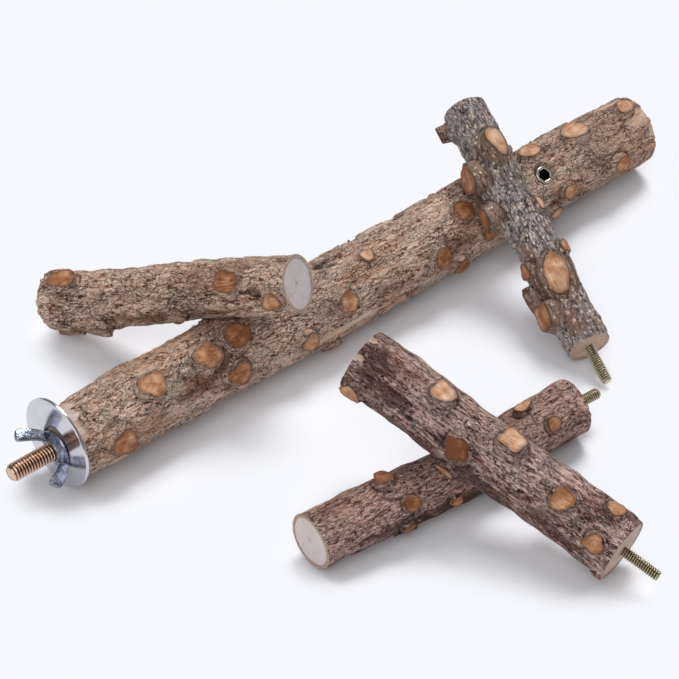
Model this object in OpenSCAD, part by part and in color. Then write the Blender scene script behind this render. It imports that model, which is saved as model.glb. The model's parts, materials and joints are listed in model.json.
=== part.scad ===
// Take-apart natural wood perch: a trunk with a cage bolt, washer and wing nut, and four side perches
// that screw into threaded inserts in the trunk. The pieces lie loose, as they do out of the box.
// The origin is the centre of the trunk's bolt seat. +X runs along the trunk and +Z is up.

/* [Trunk] */
// Length of the trunk from its bolt seat to its far end
trunk_len = 327; // [280:1:360]
// Trunk diameter at the bolt end, over the bark
trunk_near_d = 33.2; // [28:0.1:36]
// Trunk diameter at the far end, over the bark
trunk_far_d = 32; // [28:0.1:36]

/* [Bark and twig stubs] */
// Bark thickness
bark_t = 2; // [1.6:0.1:3]
// How far the bark swells in and out of round
bark_swell = 0.35; // [0:0.05:0.5]
// How far a stick wanders off its straight line
stick_wander = 0.7; // [0:0.1:1]
// Diameter of a full-size twig stub
stub_d = 10.5; // [8:0.1:12]
// How far a full-size twig stub stands proud of the bark
stub_rise = 3.2; // [2:0.1:4.5]
// How far a collar of bark reaches out around its stub
collar_reach = 8.5; // [6:0.1:11]

/* [Side perches] */
// Length of the first side perch
perch_1_len = 123; // [110:1:140]
// Diameter of the first side perch
perch_1_d = 25; // [22:0.1:28]
// Length of the second side perch
perch_2_len = 126.3; // [110:0.1:140]
// Diameter of the second side perch
perch_2_d = 19.8; // [18:0.1:24]
// Length of the third side perch
perch_3_len = 131.8; // [115:0.1:145]
// Diameter of the third side perch
perch_3_d = 28.2; // [24:0.1:32]
// Length of the fourth side perch
perch_4_len = 136.3; // [120:0.1:150]
// Diameter of the fourth side perch
perch_4_d = 24.6; // [22:0.1:28]

/* [Cage bolt] */
// Thread diameter of the cage bolt
bolt_d = 7.94; // [6:0.01:9]
// Thread pitch of the cage bolt
bolt_pitch = 1.411; // [1:0.001:1.75]
// Length of the cage bolt that stands out of the trunk
bolt_out = 25.5; // [22:0.5:40]
// Length of the cage bolt inside the trunk
bolt_in = 28; // [15:0.5:40]

/* [Washer and wing nut] */
// Washer diameter
washer_d = 40; // [37:0.5:44]
// Washer thickness
washer_t = 1.5; // [1:0.1:2.5]
// How far the wide-holed washer is clamped above the bolt's centre
washer_rise = 3.1; // [0:0.1:3.2]
// Diameter of the nut's hub where it bears on the washer
hub_d = 17; // [15:0.5:19]
// Height of the nut's hub
hub_h = 3.2; // [2.6:0.1:6]
// Wall of the nut's hub at its free end
hub_wall = 0.7; // [0.5:0.1:2]
// Span of the wings, tip to tip
wing_span = 31; // [26:0.5:38]
// Thickness of a wing
wing_t = 2.4; // [1.6:0.1:3]
// How far the wing tips reach above the washer
wing_h = 12; // [9:0.5:16]

/* [Threaded inserts] */
// Outer diameter of an insert
insert_d = 8; // [7:0.1:9.5]
// Length of an insert
insert_len = 12; // [10:0.5:14]
// Width across flats of an insert's hex socket
insert_hex = 5.2; // [5.1:0.1:6]
// Depth of an insert's hex socket
insert_hex_depth = 2.4; // [1.6:0.1:2.5]

/* [Studs] */
// Thread diameter of a side perch's stud
stud_d = 4.83; // [4:0.01:4.9]
// Length of stud that stands out of its perch
stud_out = 18; // [14:0.5:18]
// Length of stud that stands out of the fourth perch, which is screwed in deeper
perch_4_stud_out = 14; // [10:0.5:18]
// Length of stud inside its perch
stud_in = 20; // [12:0.5:25]

/* [Where the pieces lie] */
// First perch: place of its low end along the trunk
perch_1_x = 58.9; // [55:0.1:63]
// First perch: place of its low end behind the trunk
perch_1_y = 79.5; // [75:0.1:84]
// Second perch: place of its low end along the trunk
perch_2_x = 213.5; // [208:0.1:220]
// Second perch: distance of its low end in front of the trunk
perch_2_y = 90.2; // [84:0.1:96]
// Third perch: place of its low end along the trunk
perch_3_x = 132.3; // [128:0.1:137]
// Third perch: distance of its low end in front of the trunk
perch_3_y = 193.3; // [189:0.1:198]
// Fourth perch: place of its stud end along the trunk
perch_4_x = 179.4; // [175:0.1:184]
// Fourth perch: distance of its stud end in front of the trunk
perch_4_y = 115.4; // [111:0.1:120]
// Gap left where a leaning perch rests on the piece under it
lean_gap = 0.3; // [0.2:0.05:0.6]

/* [Hidden] */
$fn = 64;

// Clearances and small sizes
bolt_fit = 0.05;
washer_fit = 0.25;
stud_fit = 0.05;
insert_recess = 0.4;
insert_rim = 0.9;
pilot_fit = 0.4;
pilot_spare = 1.5;
cut_over = 1;
bolt_point = 1.2;
stud_point = 0.8;
root_share = 0.85;
washer_round = 0.3;

// Headings of the side perches about +Z, in degrees
perch_1_heading = -63.9;
perch_2_heading = 74.7;
perch_3_heading = 104.1;
perch_4_heading = 176.1;

// Turn of the nut's wings about the bolt, in degrees
wing_turn = 64;

// How far the first perch settles into a dip in the trunk's bark, and how far the second rides up on a swell
perch_1_settle = 1;
perch_2_ride = 0.5;

// How far the trunk and the low ends of the perches are held off the floor by their swells and stubs
trunk_lift = 1.8;
perch_1_lift = 1.5;
perch_2_lift = 0.3;
perch_3_lift = 0.8;
perch_4_lift = 0.8;

// Rings and sides of the bark
trunk_rings = 46;
perch_rings = 19;
trunk_sides = 22;
perch_sides = 18;

// Shape of the bark, as shares of its swell and of a turn
wander_turns = 1.3;
swell_turns = 5;
collar_share = 0.8;
stub_lean = 22;

// Twig stubs. Each row is: share of the stick's length, turn about the stick in degrees from the top,
// share of stub_d, share of stub_rise.
trunk_stub_shares = [
    [0.128, 32, 1.05, 1], [0.06, 80, 1, 1], [0.216, 34, 1.05, 1.1], [0.27, 28, 0.95, 0.9],
    [0.251, 74, 0.9, 0.9], [0.365, 84, 0.85, 1], [0.436, 59, 0.95, 1.05], [0.498, 15, 0.55, 0.7],
    [0.597, 70, 0.85, 1], [0.632, 104, 0.8, 0.9], [0.657, 29, 0.85, 1], [0.684, 74, 0.75, 0.8],
    [0.808, -3, 0.85, 0.9], [0.884, 4, 1, 1], [0.83, 79, 0.65, 0.9], [0.806, 106, 0.65, 0.9],
    [0.928, 83, 0.8, 0.9], [0.975, 7, 0.75, 0.9],
    [0.2, -100, 0.9, 0.9], [0.34, -104, 0.9, 1], [0.47, -112, 0.8, 0.8], [0.6, -120, 0.85, 0.8],
    [0.73, -106, 0.9, 1], [0.42, 140, 0.8, 0.8]];
perch_1_stub_shares = [
    [0.785, 46, 1.05, 0.9], [0.1, 15, 0.9, 0.6], [0.945, 88, 0.8, 0.35], [0.553, 111, 0.7, 0.6],
    [0.215, 126, 1, 0.95], [0.085, 136, 1, 0.7], [0.5, -130, 0.9, 0.9], [0.82, -120, 0.9, 0.8]];
perch_2_stub_shares = [
    [0.953, -112, 0.65, 1.6], [0.8, 7, 0.95, 1.1], [0.728, -84, 1, 1.3], [0.581, -100, 0.85, 1.3],
    [0.535, 36, 0.4, 0.7], [0.258, -8, 1.15, 0.7], [0.325, -80, 0.55, 0.8], [0.25, -122, 0.85, 1.3],
    [0.15, -84, 0.9, 1.2], [0.35, 36, 0.6, 0.8], [0.82, 118, 0.8, 0.9], [0.42, 128, 0.8, 0.9]];
perch_3_stub_shares = [
    [0.955, -98, 0.8, 0.9], [0.712, -9, 0.95, 1.1], [0.576, -63, 1, 0.9], [0.58, -118, 0.75, 0.8],
    [0.451, -7, 1.05, 1.5], [0.221, -34, 1, 1], [0.08, 5, 0.7, 0.8], [0.068, -57, 0.8, 0.7],
    [0.3, 128, 0.9, 0.9], [0.8, 128, 0.85, 0.9]];
perch_4_stub_shares = [
    [0.739, 1, 0.75, 1.2], [0.698, -57, 0.6, 0.6], [0.71, -112, 0.6, 0.4], [0.542, -92, 0.5, 0.4],
    [0.15, -49, 0.62, 0.8], [0.205, 6, 0.5, 0.8], [0.35, 106, 0.8, 0.8], [0.88, 110, 0.7, 0.8]];

// Threaded inserts. Each row is: share of the trunk's length, turn about the trunk in degrees.
insert_shares = [[0.804, 39], [0.545, -80], [0.395, -178], [0.16, -118]];

// Outline of a wing. Each row is: share of the half span, share of wing_h. Its foot at the hub is the
// lowest and the highest share of wing_h.
wing_shares = [[0.594, 0.04], [0.72, 0.2], [0.865, 0.43], [0.968, 0.667], [1, 0.76], [0.974, 0.83],
               [0.787, 0.97], [0.73, 0.96], [0.665, 0.8], [0.574, 0.55], [0.47, 0.35]];
wing_foot_shares = [0.04, 0.24];

// Derived sizes
bolt_r = bolt_d / 2;
bolt_root_r = root_share * bolt_r;
crest_flat = bolt_pitch / 4;
stud_r = stud_d / 2;
stud_root_r = root_share * stud_r;
washer_r = washer_d / 2;
washer_hole_r = bolt_r + washer_rise + washer_fit;
hub_top_r = bolt_r + bolt_fit + hub_wall;
nut_seat = washer_t;
floor_z = -trunk_near_d / 2 - trunk_lift;

// A stick is [length, near radius, far radius, stub rows, phase in degrees, number of sides, of rings].
trunk = [trunk_len, trunk_near_d / 2, trunk_far_d / 2, trunk_stub_shares, 20, trunk_sides, trunk_rings];
perch_1 = [perch_1_len, perch_1_d / 2, perch_1_d / 2, perch_1_stub_shares, 75, perch_sides, perch_rings];
perch_2 = [perch_2_len, perch_2_d / 2, perch_2_d / 2, perch_2_stub_shares, 140, perch_sides, perch_rings];
perch_3 = [perch_3_len, perch_3_d / 2, perch_3_d / 2, perch_3_stub_shares, 230, perch_sides, perch_rings];
perch_4 = [perch_4_len, perch_4_d / 2, perch_4_d / 2, perch_4_stub_shares, 310, perch_sides, perch_rings];

function stick_len(s) = s[0];
function stick_r(s, x) = s[1] + (s[2] - s[1]) * x / s[0];
function core_r(s) = min(s[1], s[2]) - bark_t;
function stub_x(s, row) = row[0] * stick_len(s);
function sum(v, i = 0) = i < len(v) ? v[i] + sum(v, i + 1) : 0;

// Height of the bark collar that grows around a stub, at x along the stick and turn a about it
function collar(s, row, x, a) =
    let (along = (x - stub_x(s, row)) / collar_reach,
         around = 2 * stick_r(s, x) * sin((a - row[1]) / 2) / collar_reach)
    collar_share * row[3] * stub_rise * exp(-2 * (along * along + around * around) / row[2]);

// Radius of the bark at x along the stick and turn a about it
function bark_r(s, x, a) =
    let (along = 360 * swell_turns * x / stick_len(s))
    stick_r(s, x)
    + bark_swell * (sin(2 * a + along + s[4]) + sin(3 * a - 2 * along - s[4])) / 2
    + sum([for (row = s[3]) collar(s, row, x, a)]);

// Sideways and upward wander of the stick, nothing at its two ends
function wander(s, x, phase) =
    stick_wander * sin(180 * x / stick_len(s)) * sin(360 * wander_turns * x / stick_len(s) + phase);

function bark_point(s, x, a) =
    [x, wander(s, x, s[4]) - bark_r(s, x, a) * sin(a), wander(s, x, s[4] + 90) + bark_r(s, x, a) * cos(a)];

// How steeply a perch must rise from its low end to rest on a piece under it, in degrees:
// away is the level distance to that piece's axis, drop how far the low end is under that axis,
// apart the distance between the two axes where they cross, and cross the angle between them.
function lean_tilt(away, drop, apart, cross) =
    let (rise = asin(apart / norm([away, drop])) + atan2(drop, away))
    atan(tan(rise) * abs(sin(cross)));

// Heights of the low ends' centres, and the tilts at which the leaning perches rest
perch_1_z = floor_z + perch_1_d / 2 + perch_1_lift;
perch_2_z = floor_z + perch_2_d / 2 + perch_2_lift;
perch_3_z = floor_z + perch_3_d / 2 + perch_3_lift;
perch_4_z = floor_z + perch_4_d / 2 + perch_4_lift;
perch_1_tilt = lean_tilt(perch_1_y, -perch_1_z,
                         (trunk_near_d + perch_1_d) / 2 + lean_gap - perch_1_settle, perch_1_heading);
perch_2_tilt = lean_tilt(perch_2_y, -perch_2_z,
                         (trunk_far_d + perch_2_d) / 2 + lean_gap + perch_2_ride, perch_2_heading);
perch_3_turn = perch_3_heading - perch_4_heading;
perch_3_away = (perch_3_y - perch_4_y) * cos(perch_4_heading)
    + (perch_3_x - perch_4_x) * sin(perch_4_heading);
perch_3_tilt = lean_tilt(abs(perch_3_away), perch_4_z - perch_3_z,
                         (perch_3_d + perch_4_d) / 2 + lean_gap, perch_3_turn);

// Solid stick of bark, before anything is cut from it
module bark_solid(s) {
    rings = s[6];
    n = s[5];
    points = [for (i = [0:rings]) for (k = [0:n - 1])
        bark_point(s, stick_len(s) * i / rings, 360 * k / n)];
    sides = [for (i = [0:rings - 1]) for (k = [0:n - 1])
        let (p = i * n + k, q = i * n + (k + 1) % n)
        each [[p, p + n, q], [q, p + n, q + n]]];
    near = [for (k = [0:n - 1]) k];
    far = [for (k = [n - 1:-1:0]) rings * n + k];
    polyhedron(points = concat(points), faces = concat(sides, [near, far]), convexity = 4);
}

// Straight wood under the bark
module core(s) {
    rotate([0, 90, 0])
        cylinder(h = stick_len(s), r = core_r(s));
}

// Leaning peg of a pruned twig, sawn off level with the stick. over is how far it is left longer.
module peg(s, row, over) {
    rise = row[3] * stub_rise + over;
    reach = stick_r(s, stub_x(s, row)) + rise;
    rotate([row[1], 0, 0])
        translate([stub_x(s, row), 0, 0])
            intersection() {
                translate([(over - reach) * tan(stub_lean), 0, 0])
                    rotate([0, stub_lean, 0])
                        cylinder(h = 2 * reach, d = row[2] * stub_d);
                translate([-reach, -reach, 0])
                    cube([2 * reach, 2 * reach, reach]);
            }
}

module pegs(s, over) {
    for (row = s[3])
        peg(s, row, over);
}

// What a stick keeps between its two sawn ends
module between_ends(s) {
    span = 4 * stick_r(s, 0);
    translate([0, -span / 2, -span / 2])
        cube([stick_len(s), span, span]);
}

module stick_bark(s) {
    difference() {
        bark_solid(s);
        core(s);
        pegs(s, stub_rise);
    }
}

module stick_stubs(s) {
    difference() {
        intersection() {
            pegs(s, 0);
            between_ends(s);
        }
        core(s);
    }
}

// The bolt runs out of the trunk along this frame's +Z, from the seat
module on_bolt() {
    rotate([0, -90, 0])
        children();
}

// An insert stands in this frame, pointing out of the trunk, with its open end at zero
module at_insert(i) {
    row = insert_shares[i - 1];
    x = row[0] * trunk_len;
    rotate([row[1], 0, 0])
        translate([x, 0, stick_r(trunk, x) - insert_recess])
            children();
}

module trunk_wood() {
    color("tan")
        difference() {
            core(trunk);
            on_bolt()
                translate([0, 0, -bolt_in])
                    cylinder(h = bolt_in + cut_over, r = bolt_root_r);
            for (i = [1:len(insert_shares)])
                at_insert(i) {
                    translate([0, 0, -insert_len])
                        cylinder(h = insert_len + cut_over, d = insert_d);
                    translate([0, 0, -stud_out - pilot_spare])
                        cylinder(h = stud_out, d = stud_d + 2 * pilot_fit);
                }
        }
}

module trunk_bark() {
    color("rosybrown")
        difference() {
            stick_bark(trunk);
            for (i = [1:len(insert_shares)])
                at_insert(i)
                    translate([0, 0, -insert_len])
                        cylinder(h = 2 * insert_len, r = insert_d / 2 + insert_rim);
        }
}

module trunk_stubs() {
    color("peru")
        stick_stubs(trunk);
}

// Hanger bolt: a plain root in the wood, thread rings where the nut bears, and the free end as its crest
module cage_bolt() {
    rings = ceil((nut_seat + hub_h) / bolt_pitch);
    color("darkgoldenrod")
        on_bolt()
            rotate_extrude()
                polygon(concat(
                    [[0, -bolt_in], [bolt_root_r - bolt_point, -bolt_in], [bolt_root_r, bolt_point - bolt_in],
                     [bolt_root_r, 0]],
                    [for (i = [0:rings - 1]) each
                        [[bolt_r, i * bolt_pitch], [bolt_r, i * bolt_pitch + crest_flat],
                         [bolt_root_r, (i + 0.5) * bolt_pitch + crest_flat / 2]]],
                    [[bolt_r, rings * bolt_pitch], [bolt_r, bolt_out - bolt_point],
                     [bolt_r - bolt_point, bolt_out], [0, bolt_out]]));
}

// The washer's hole is wide enough for the washer to sit above the bolt's centre
module clamp_washer() {
    color("silver")
        on_bolt()
            difference() {
                translate([washer_rise, 0, 0])
                    rotate_extrude()
                        polygon([[0, 0], [washer_r - washer_round, 0], [washer_r, washer_round],
                                 [washer_r, washer_t - washer_round], [washer_r - washer_round, washer_t],
                                 [0, washer_t]]);
                translate([washer_rise, 0, -cut_over])
                    cylinder(h = washer_t + 2 * cut_over, r = washer_hole_r);
            }
}

// Outline of one wing, from the bolt's surface outwards and up from the washer
module wing_outline() {
    polygon(concat(
        [[bolt_r, wing_foot_shares[0] * wing_h]],
        [for (row = wing_shares) [row[0] * wing_span / 2, row[1] * wing_h]],
        [[bolt_r, wing_foot_shares[1] * wing_h]]));
}

module wing_nut() {
    color("gainsboro")
        on_bolt()
            translate([0, 0, nut_seat])
                difference() {
                    union() {
                        cylinder(h = hub_h, r1 = hub_d / 2, r2 = hub_top_r);
                        for (turn = [wing_turn, wing_turn + 180])
                            rotate([0, 0, turn])
                                rotate([90, 0, 0])
                                    translate([0, 0, -wing_t / 2])
                                        linear_extrude(height = wing_t)
                                            wing_outline();
                    }
                    translate([0, 0, -cut_over])
                        cylinder(h = wing_h + 2 * cut_over, r = bolt_r + bolt_fit);
                }
}

module insert(i) {
    color("slategray")
        at_insert(i)
            difference() {
                translate([0, 0, -insert_len])
                    cylinder(h = insert_len, d = insert_d);
                translate([0, 0, -insert_len - cut_over])
                    cylinder(h = insert_len + 2 * cut_over, r = stud_r + stud_fit);
                translate([0, 0, -insert_hex_depth])
                    cylinder(h = insert_hex_depth + cut_over, d = insert_hex / cos(30), $fn = 6);
            }
}

// A perch lies in this frame: +X runs up it from the centre of its low end
module lay(x, y, z, heading, tilt) {
    translate([x, y, z])
        rotate([0, 0, heading])
            rotate([0, -tilt, 0])
                children();
}

module at_perch_1() {
    lay(perch_1_x, perch_1_y, perch_1_z, perch_1_heading, perch_1_tilt)
        children();
}

module at_perch_2() {
    lay(perch_2_x, -perch_2_y, perch_2_z, perch_2_heading, perch_2_tilt)
        children();
}

module at_perch_3() {
    lay(perch_3_x, -perch_3_y, perch_3_z, perch_3_heading, perch_3_tilt)
        children();
}

module at_perch_4() {
    lay(perch_4_x, -perch_4_y, perch_4_z, perch_4_heading, 0)
        children();
}

// Pilot hole for a stud in a perch's low end, and the stud's own place in it
module perch_wood(s) {
    color("tan")
        difference() {
            core(s);
            translate([-cut_over, 0, 0])
                rotate([0, 90, 0])
                    cylinder(h = stud_in + cut_over, r = stud_root_r);
        }
}

module perch_bark(s, tone) {
    color(tone)
        stick_bark(s);
}

module perch_stubs(s) {
    color("peru")
        stick_stubs(s);
}

module perch_stud(out = stud_out) {
    color("goldenrod")
        rotate([0, 90, 0])
            rotate_extrude()
                polygon([[0, -out], [stud_r - stud_point, -out], [stud_r, stud_point - out],
                         [stud_r, 0], [stud_root_r, 0], [stud_root_r, stud_in - stud_point],
                         [stud_root_r - stud_point, stud_in], [0, stud_in]]);
}

trunk_wood();
trunk_bark();
trunk_stubs();
cage_bolt();
clamp_washer();
wing_nut();
insert(1);  // insert_1
insert(2);  // insert_2
insert(3);  // insert_3
insert(4);  // insert_4
at_perch_1() perch_wood(perch_1);  // perch_1_wood
at_perch_1() perch_bark(perch_1, "rosybrown");  // perch_1_bark
at_perch_1() perch_stubs(perch_1);  // perch_1_stubs
at_perch_2() perch_wood(perch_2);  // perch_2_wood
at_perch_2() perch_bark(perch_2, "dimgray");  // perch_2_bark
at_perch_2() perch_stubs(perch_2);  // perch_2_stubs
at_perch_2() perch_stud();  // perch_2_stud
at_perch_3() perch_wood(perch_3);  // perch_3_wood
at_perch_3() perch_bark(perch_3, "sienna");  // perch_3_bark
at_perch_3() perch_stubs(perch_3);  // perch_3_stubs
at_perch_3() perch_stud();  // perch_3_stud
at_perch_4() perch_wood(perch_4);  // perch_4_wood
at_perch_4() perch_bark(perch_4, "saddlebrown");  // perch_4_bark
at_perch_4() perch_stubs(perch_4);  // perch_4_stubs
at_perch_4() perch_stud(perch_4_stud_out);  // perch_4_stud
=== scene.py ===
import itertools
import json
import math

import bmesh
import bpy
import numpy as np
from bpy.props import FloatProperty, FloatVectorProperty, IntProperty, PointerProperty
from mathutils import Matrix, Vector


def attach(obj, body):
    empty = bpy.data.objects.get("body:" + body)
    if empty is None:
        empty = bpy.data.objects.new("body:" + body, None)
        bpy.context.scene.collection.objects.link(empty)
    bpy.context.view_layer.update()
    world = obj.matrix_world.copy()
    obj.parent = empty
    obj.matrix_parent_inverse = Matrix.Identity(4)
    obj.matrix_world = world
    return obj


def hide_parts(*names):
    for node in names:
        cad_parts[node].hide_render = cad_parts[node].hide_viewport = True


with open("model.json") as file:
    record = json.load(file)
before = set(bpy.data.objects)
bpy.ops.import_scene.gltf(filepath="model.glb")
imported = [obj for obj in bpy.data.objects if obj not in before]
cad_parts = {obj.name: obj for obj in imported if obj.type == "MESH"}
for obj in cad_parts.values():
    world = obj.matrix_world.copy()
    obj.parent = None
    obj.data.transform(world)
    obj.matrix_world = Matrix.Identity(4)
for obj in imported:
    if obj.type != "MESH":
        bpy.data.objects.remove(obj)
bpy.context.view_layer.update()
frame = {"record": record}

bl_info = {
    "name": "Take-apart bird perch",
    "version": (1, 0, 0),
    "blender": (4, 5, 0),
    "location": "3D View > Sidebar > Perch",
    "description": "Bark, sawn wood, twig stubs and hardware of a take-apart natural wood perch",
    "category": "Object",
}

MM = 0.001


def mount(name):
    """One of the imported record's mounts."""
    return next(m for m in frame["record"]["mounts"] if m["name"] == name)


def srgb(r, g, b):
    """A colour given as it shows on a screen, 0 to 255, as the shader wants it."""
    return tuple(((c / 255) / 12.92 if c / 255 <= 0.04045 else (((c / 255) + 0.055) / 1.055) ** 2.4)
                 for c in (r, g, b))


BACKDROP = (0.930, 0.939, 0.983)


# Settings

class PERCH_PG_sticks(bpy.types.PropertyGroup):
    bark_step: FloatProperty(
        name="Bark mesh step", description="Size of a face of the side perches' bark",
        default=0.00052, min=0.0003, max=0.003, precision=5, unit="LENGTH")
    trunk_step: FloatProperty(
        name="Trunk mesh step", description="Size of a face of the trunk's bark",
        default=0.00064, min=0.0005, max=0.004, precision=5, unit="LENGTH")
    bark_rim: FloatProperty(
        name="Bark at the saw cuts", description="Thickness of bark that shows at a sawn end",
        default=0.0007, min=0.0004, max=0.002, precision=4, unit="LENGTH")
    relief: FloatProperty(
        name="Bark relief", description="Depth of the bark's flakes and furrows, as a factor",
        default=1.0, min=0.0, max=1.5, subtype="FACTOR")
    stub_sides: IntProperty(
        name="Stub sides", description="Points around each twig stub", default=56, min=12, max=96)


class PERCH_PG_hardware(bpy.types.PropertyGroup):
    washer_diameter: FloatProperty(
        name="Washer", description="Diameter of the cage washer", default=0.040, unit="LENGTH")
    washer_thickness: FloatProperty(
        name="Washer thickness", description="Thickness of the cage washer", default=0.0015,
        precision=4, unit="LENGTH")
    bolt_diameter: FloatProperty(
        name="Bolt", description="Thread diameter of the cage bolt",
        default=2 * MM * mount("bolt_end")["dims"]["r_mm"], precision=5, unit="LENGTH")
    bolt_pitch: FloatProperty(
        name="Bolt pitch", description="Thread pitch of the cage bolt", default=0.001411,
        precision=6, unit="LENGTH")
    bolt_out: FloatProperty(
        name="Bolt length", description="Length of bolt outside the trunk", default=0.0255, precision=4,
        unit="LENGTH")
    stud_diameter: FloatProperty(
        name="Stud", description="Thread diameter of a side perch's stud",
        default=2 * MM * mount("perch_2_screw")["dims"]["r_mm"], precision=5, unit="LENGTH")
    stud_pitch: FloatProperty(
        name="Stud pitch", description="Thread pitch of a stud", default=0.001058,
        precision=6, unit="LENGTH")
    stud_out: FloatProperty(
        name="Stud length", description="Length of stud outside its perch", default=0.018,
        unit="LENGTH")
    short_stud_out: FloatProperty(
        name="Short stud length", description="Length of the last perch's stud outside it", default=0.014,
        unit="LENGTH")
    insert_diameter: FloatProperty(
        name="Insert", description="Outer diameter of a threaded insert", default=0.008,
        precision=4, unit="LENGTH")


def tint(name, description, colour):
    """A colour setting."""
    return FloatVectorProperty(name=name, description=description, subtype="COLOR", size=3, default=colour)


class PERCH_PG_finish(bpy.types.PropertyGroup):
    trunk_end: tint("Trunk end", "Colour of the trunk's sawn ends", srgb(205, 182, 168))
    perch_1_end: tint("Perch 1 end", "Colour of the first perch's sawn ends", srgb(218, 205, 206))
    perch_2_end: tint("Perch 2 end", "Colour of the second perch's sawn ends", srgb(200, 168, 148))
    perch_3_end: tint("Perch 3 end", "Colour of the third perch's sawn ends", srgb(204, 178, 162))
    perch_4_end: tint("Perch 4 end", "Colour of the fourth perch's sawn ends", srgb(214, 200, 197))
    bolt: tint("Bolt plating", "Colour of the cage bolt", srgb(228, 190, 168))
    washer: tint("Washer plating", "Colour of the cage washer", srgb(212, 212, 218))
    nut: tint("Nut plating", "Colour of the wing nut", srgb(150, 156, 172))
    insert: tint("Insert plating", "Colour of the threaded inserts", srgb(232, 224, 206))
    stud: tint("Stud plating", "Colour of the side perches' studs", srgb(200, 190, 162))
    floor: tint("Floor", "Colour of the floor", BACKDROP)


# Noise fields

def ease(t):
    """Smooth step from 0 to 1."""
    t = np.clip(t, 0.0, 1.0)
    return t * t * (3.0 - 2.0 * t)


HASH_X, HASH_Y, HASH_Z, HASH_SEED, HASH_MIX = 73856093, 19349663, 83492791, 26544357, 1274126177
WORD = 0xFFFFFFFF


def scatter(cell, seed):
    """A repeatable number from 0 to 1 for each whole-numbered cell."""
    h = (cell[:, 0] * HASH_X) ^ (cell[:, 1] * HASH_Y) ^ (cell[:, 2] * HASH_Z) ^ (seed * HASH_SEED)
    h &= WORD
    h ^= h >> 13
    h = (h * HASH_MIX) & WORD
    h ^= h >> 16
    return h / float(WORD)


def mottle(p, seed):
    """Smooth noise from -1 to 1 at points p, one lump a unit."""
    cell = np.floor(p).astype(np.int64)
    f = ease(p - cell)
    total = np.zeros(len(p))
    for corner in itertools.product((0, 1), repeat=3):
        weight = np.ones(len(p))
        for axis in range(3):
            weight *= f[:, axis] if corner[axis] else 1.0 - f[:, axis]
        total += weight * scatter(cell + np.array(corner), seed)
    return 2.0 * total - 1.0


def rough(p, seed, layers=3, keep=0.55):
    """Layered mottle, each layer twice as fine."""
    total, weight, reach = 0.0, 1.0, 0.0
    for k in range(layers):
        total = total + weight * mottle(p * 2.0 ** k + 7.3 * k, seed + k)
        reach += weight
        weight *= keep
    return total / reach


def flakes(p, seed):
    """Cells of a flaking surface: nearest distance, distance to the cell's edge, and a number a cell."""
    cell = np.floor(p).astype(np.int64)
    first = np.full(len(p), 9.0)
    second = np.full(len(p), 9.0)
    who = np.zeros(len(p))
    for step in itertools.product((-1, 0, 1), repeat=3):
        c = cell + np.array(step)
        middle = c + np.stack([scatter(c, seed + s) for s in (11, 23, 37)], axis=1)
        d = np.sqrt(((p - middle) ** 2).sum(1))
        nearer = d < first
        second = np.where(nearer, first, np.minimum(second, d))
        who = np.where(nearer, scatter(c, seed + 51), who)
        first = np.where(nearer, d, first)
    return first, second - first, who


# Sticks

SWAY, SWAY_TURNS = 0.7, 1.3  # how far a centre line wanders, in millimetres, and in how many turns
SWELL, SWELL_WAVES = 0.35, 5  # how far a stick is out of round, and in how many waves along it
SEAM_AT = 1.12  # where the dark seam runs round a stub, in radii of its face


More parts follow.
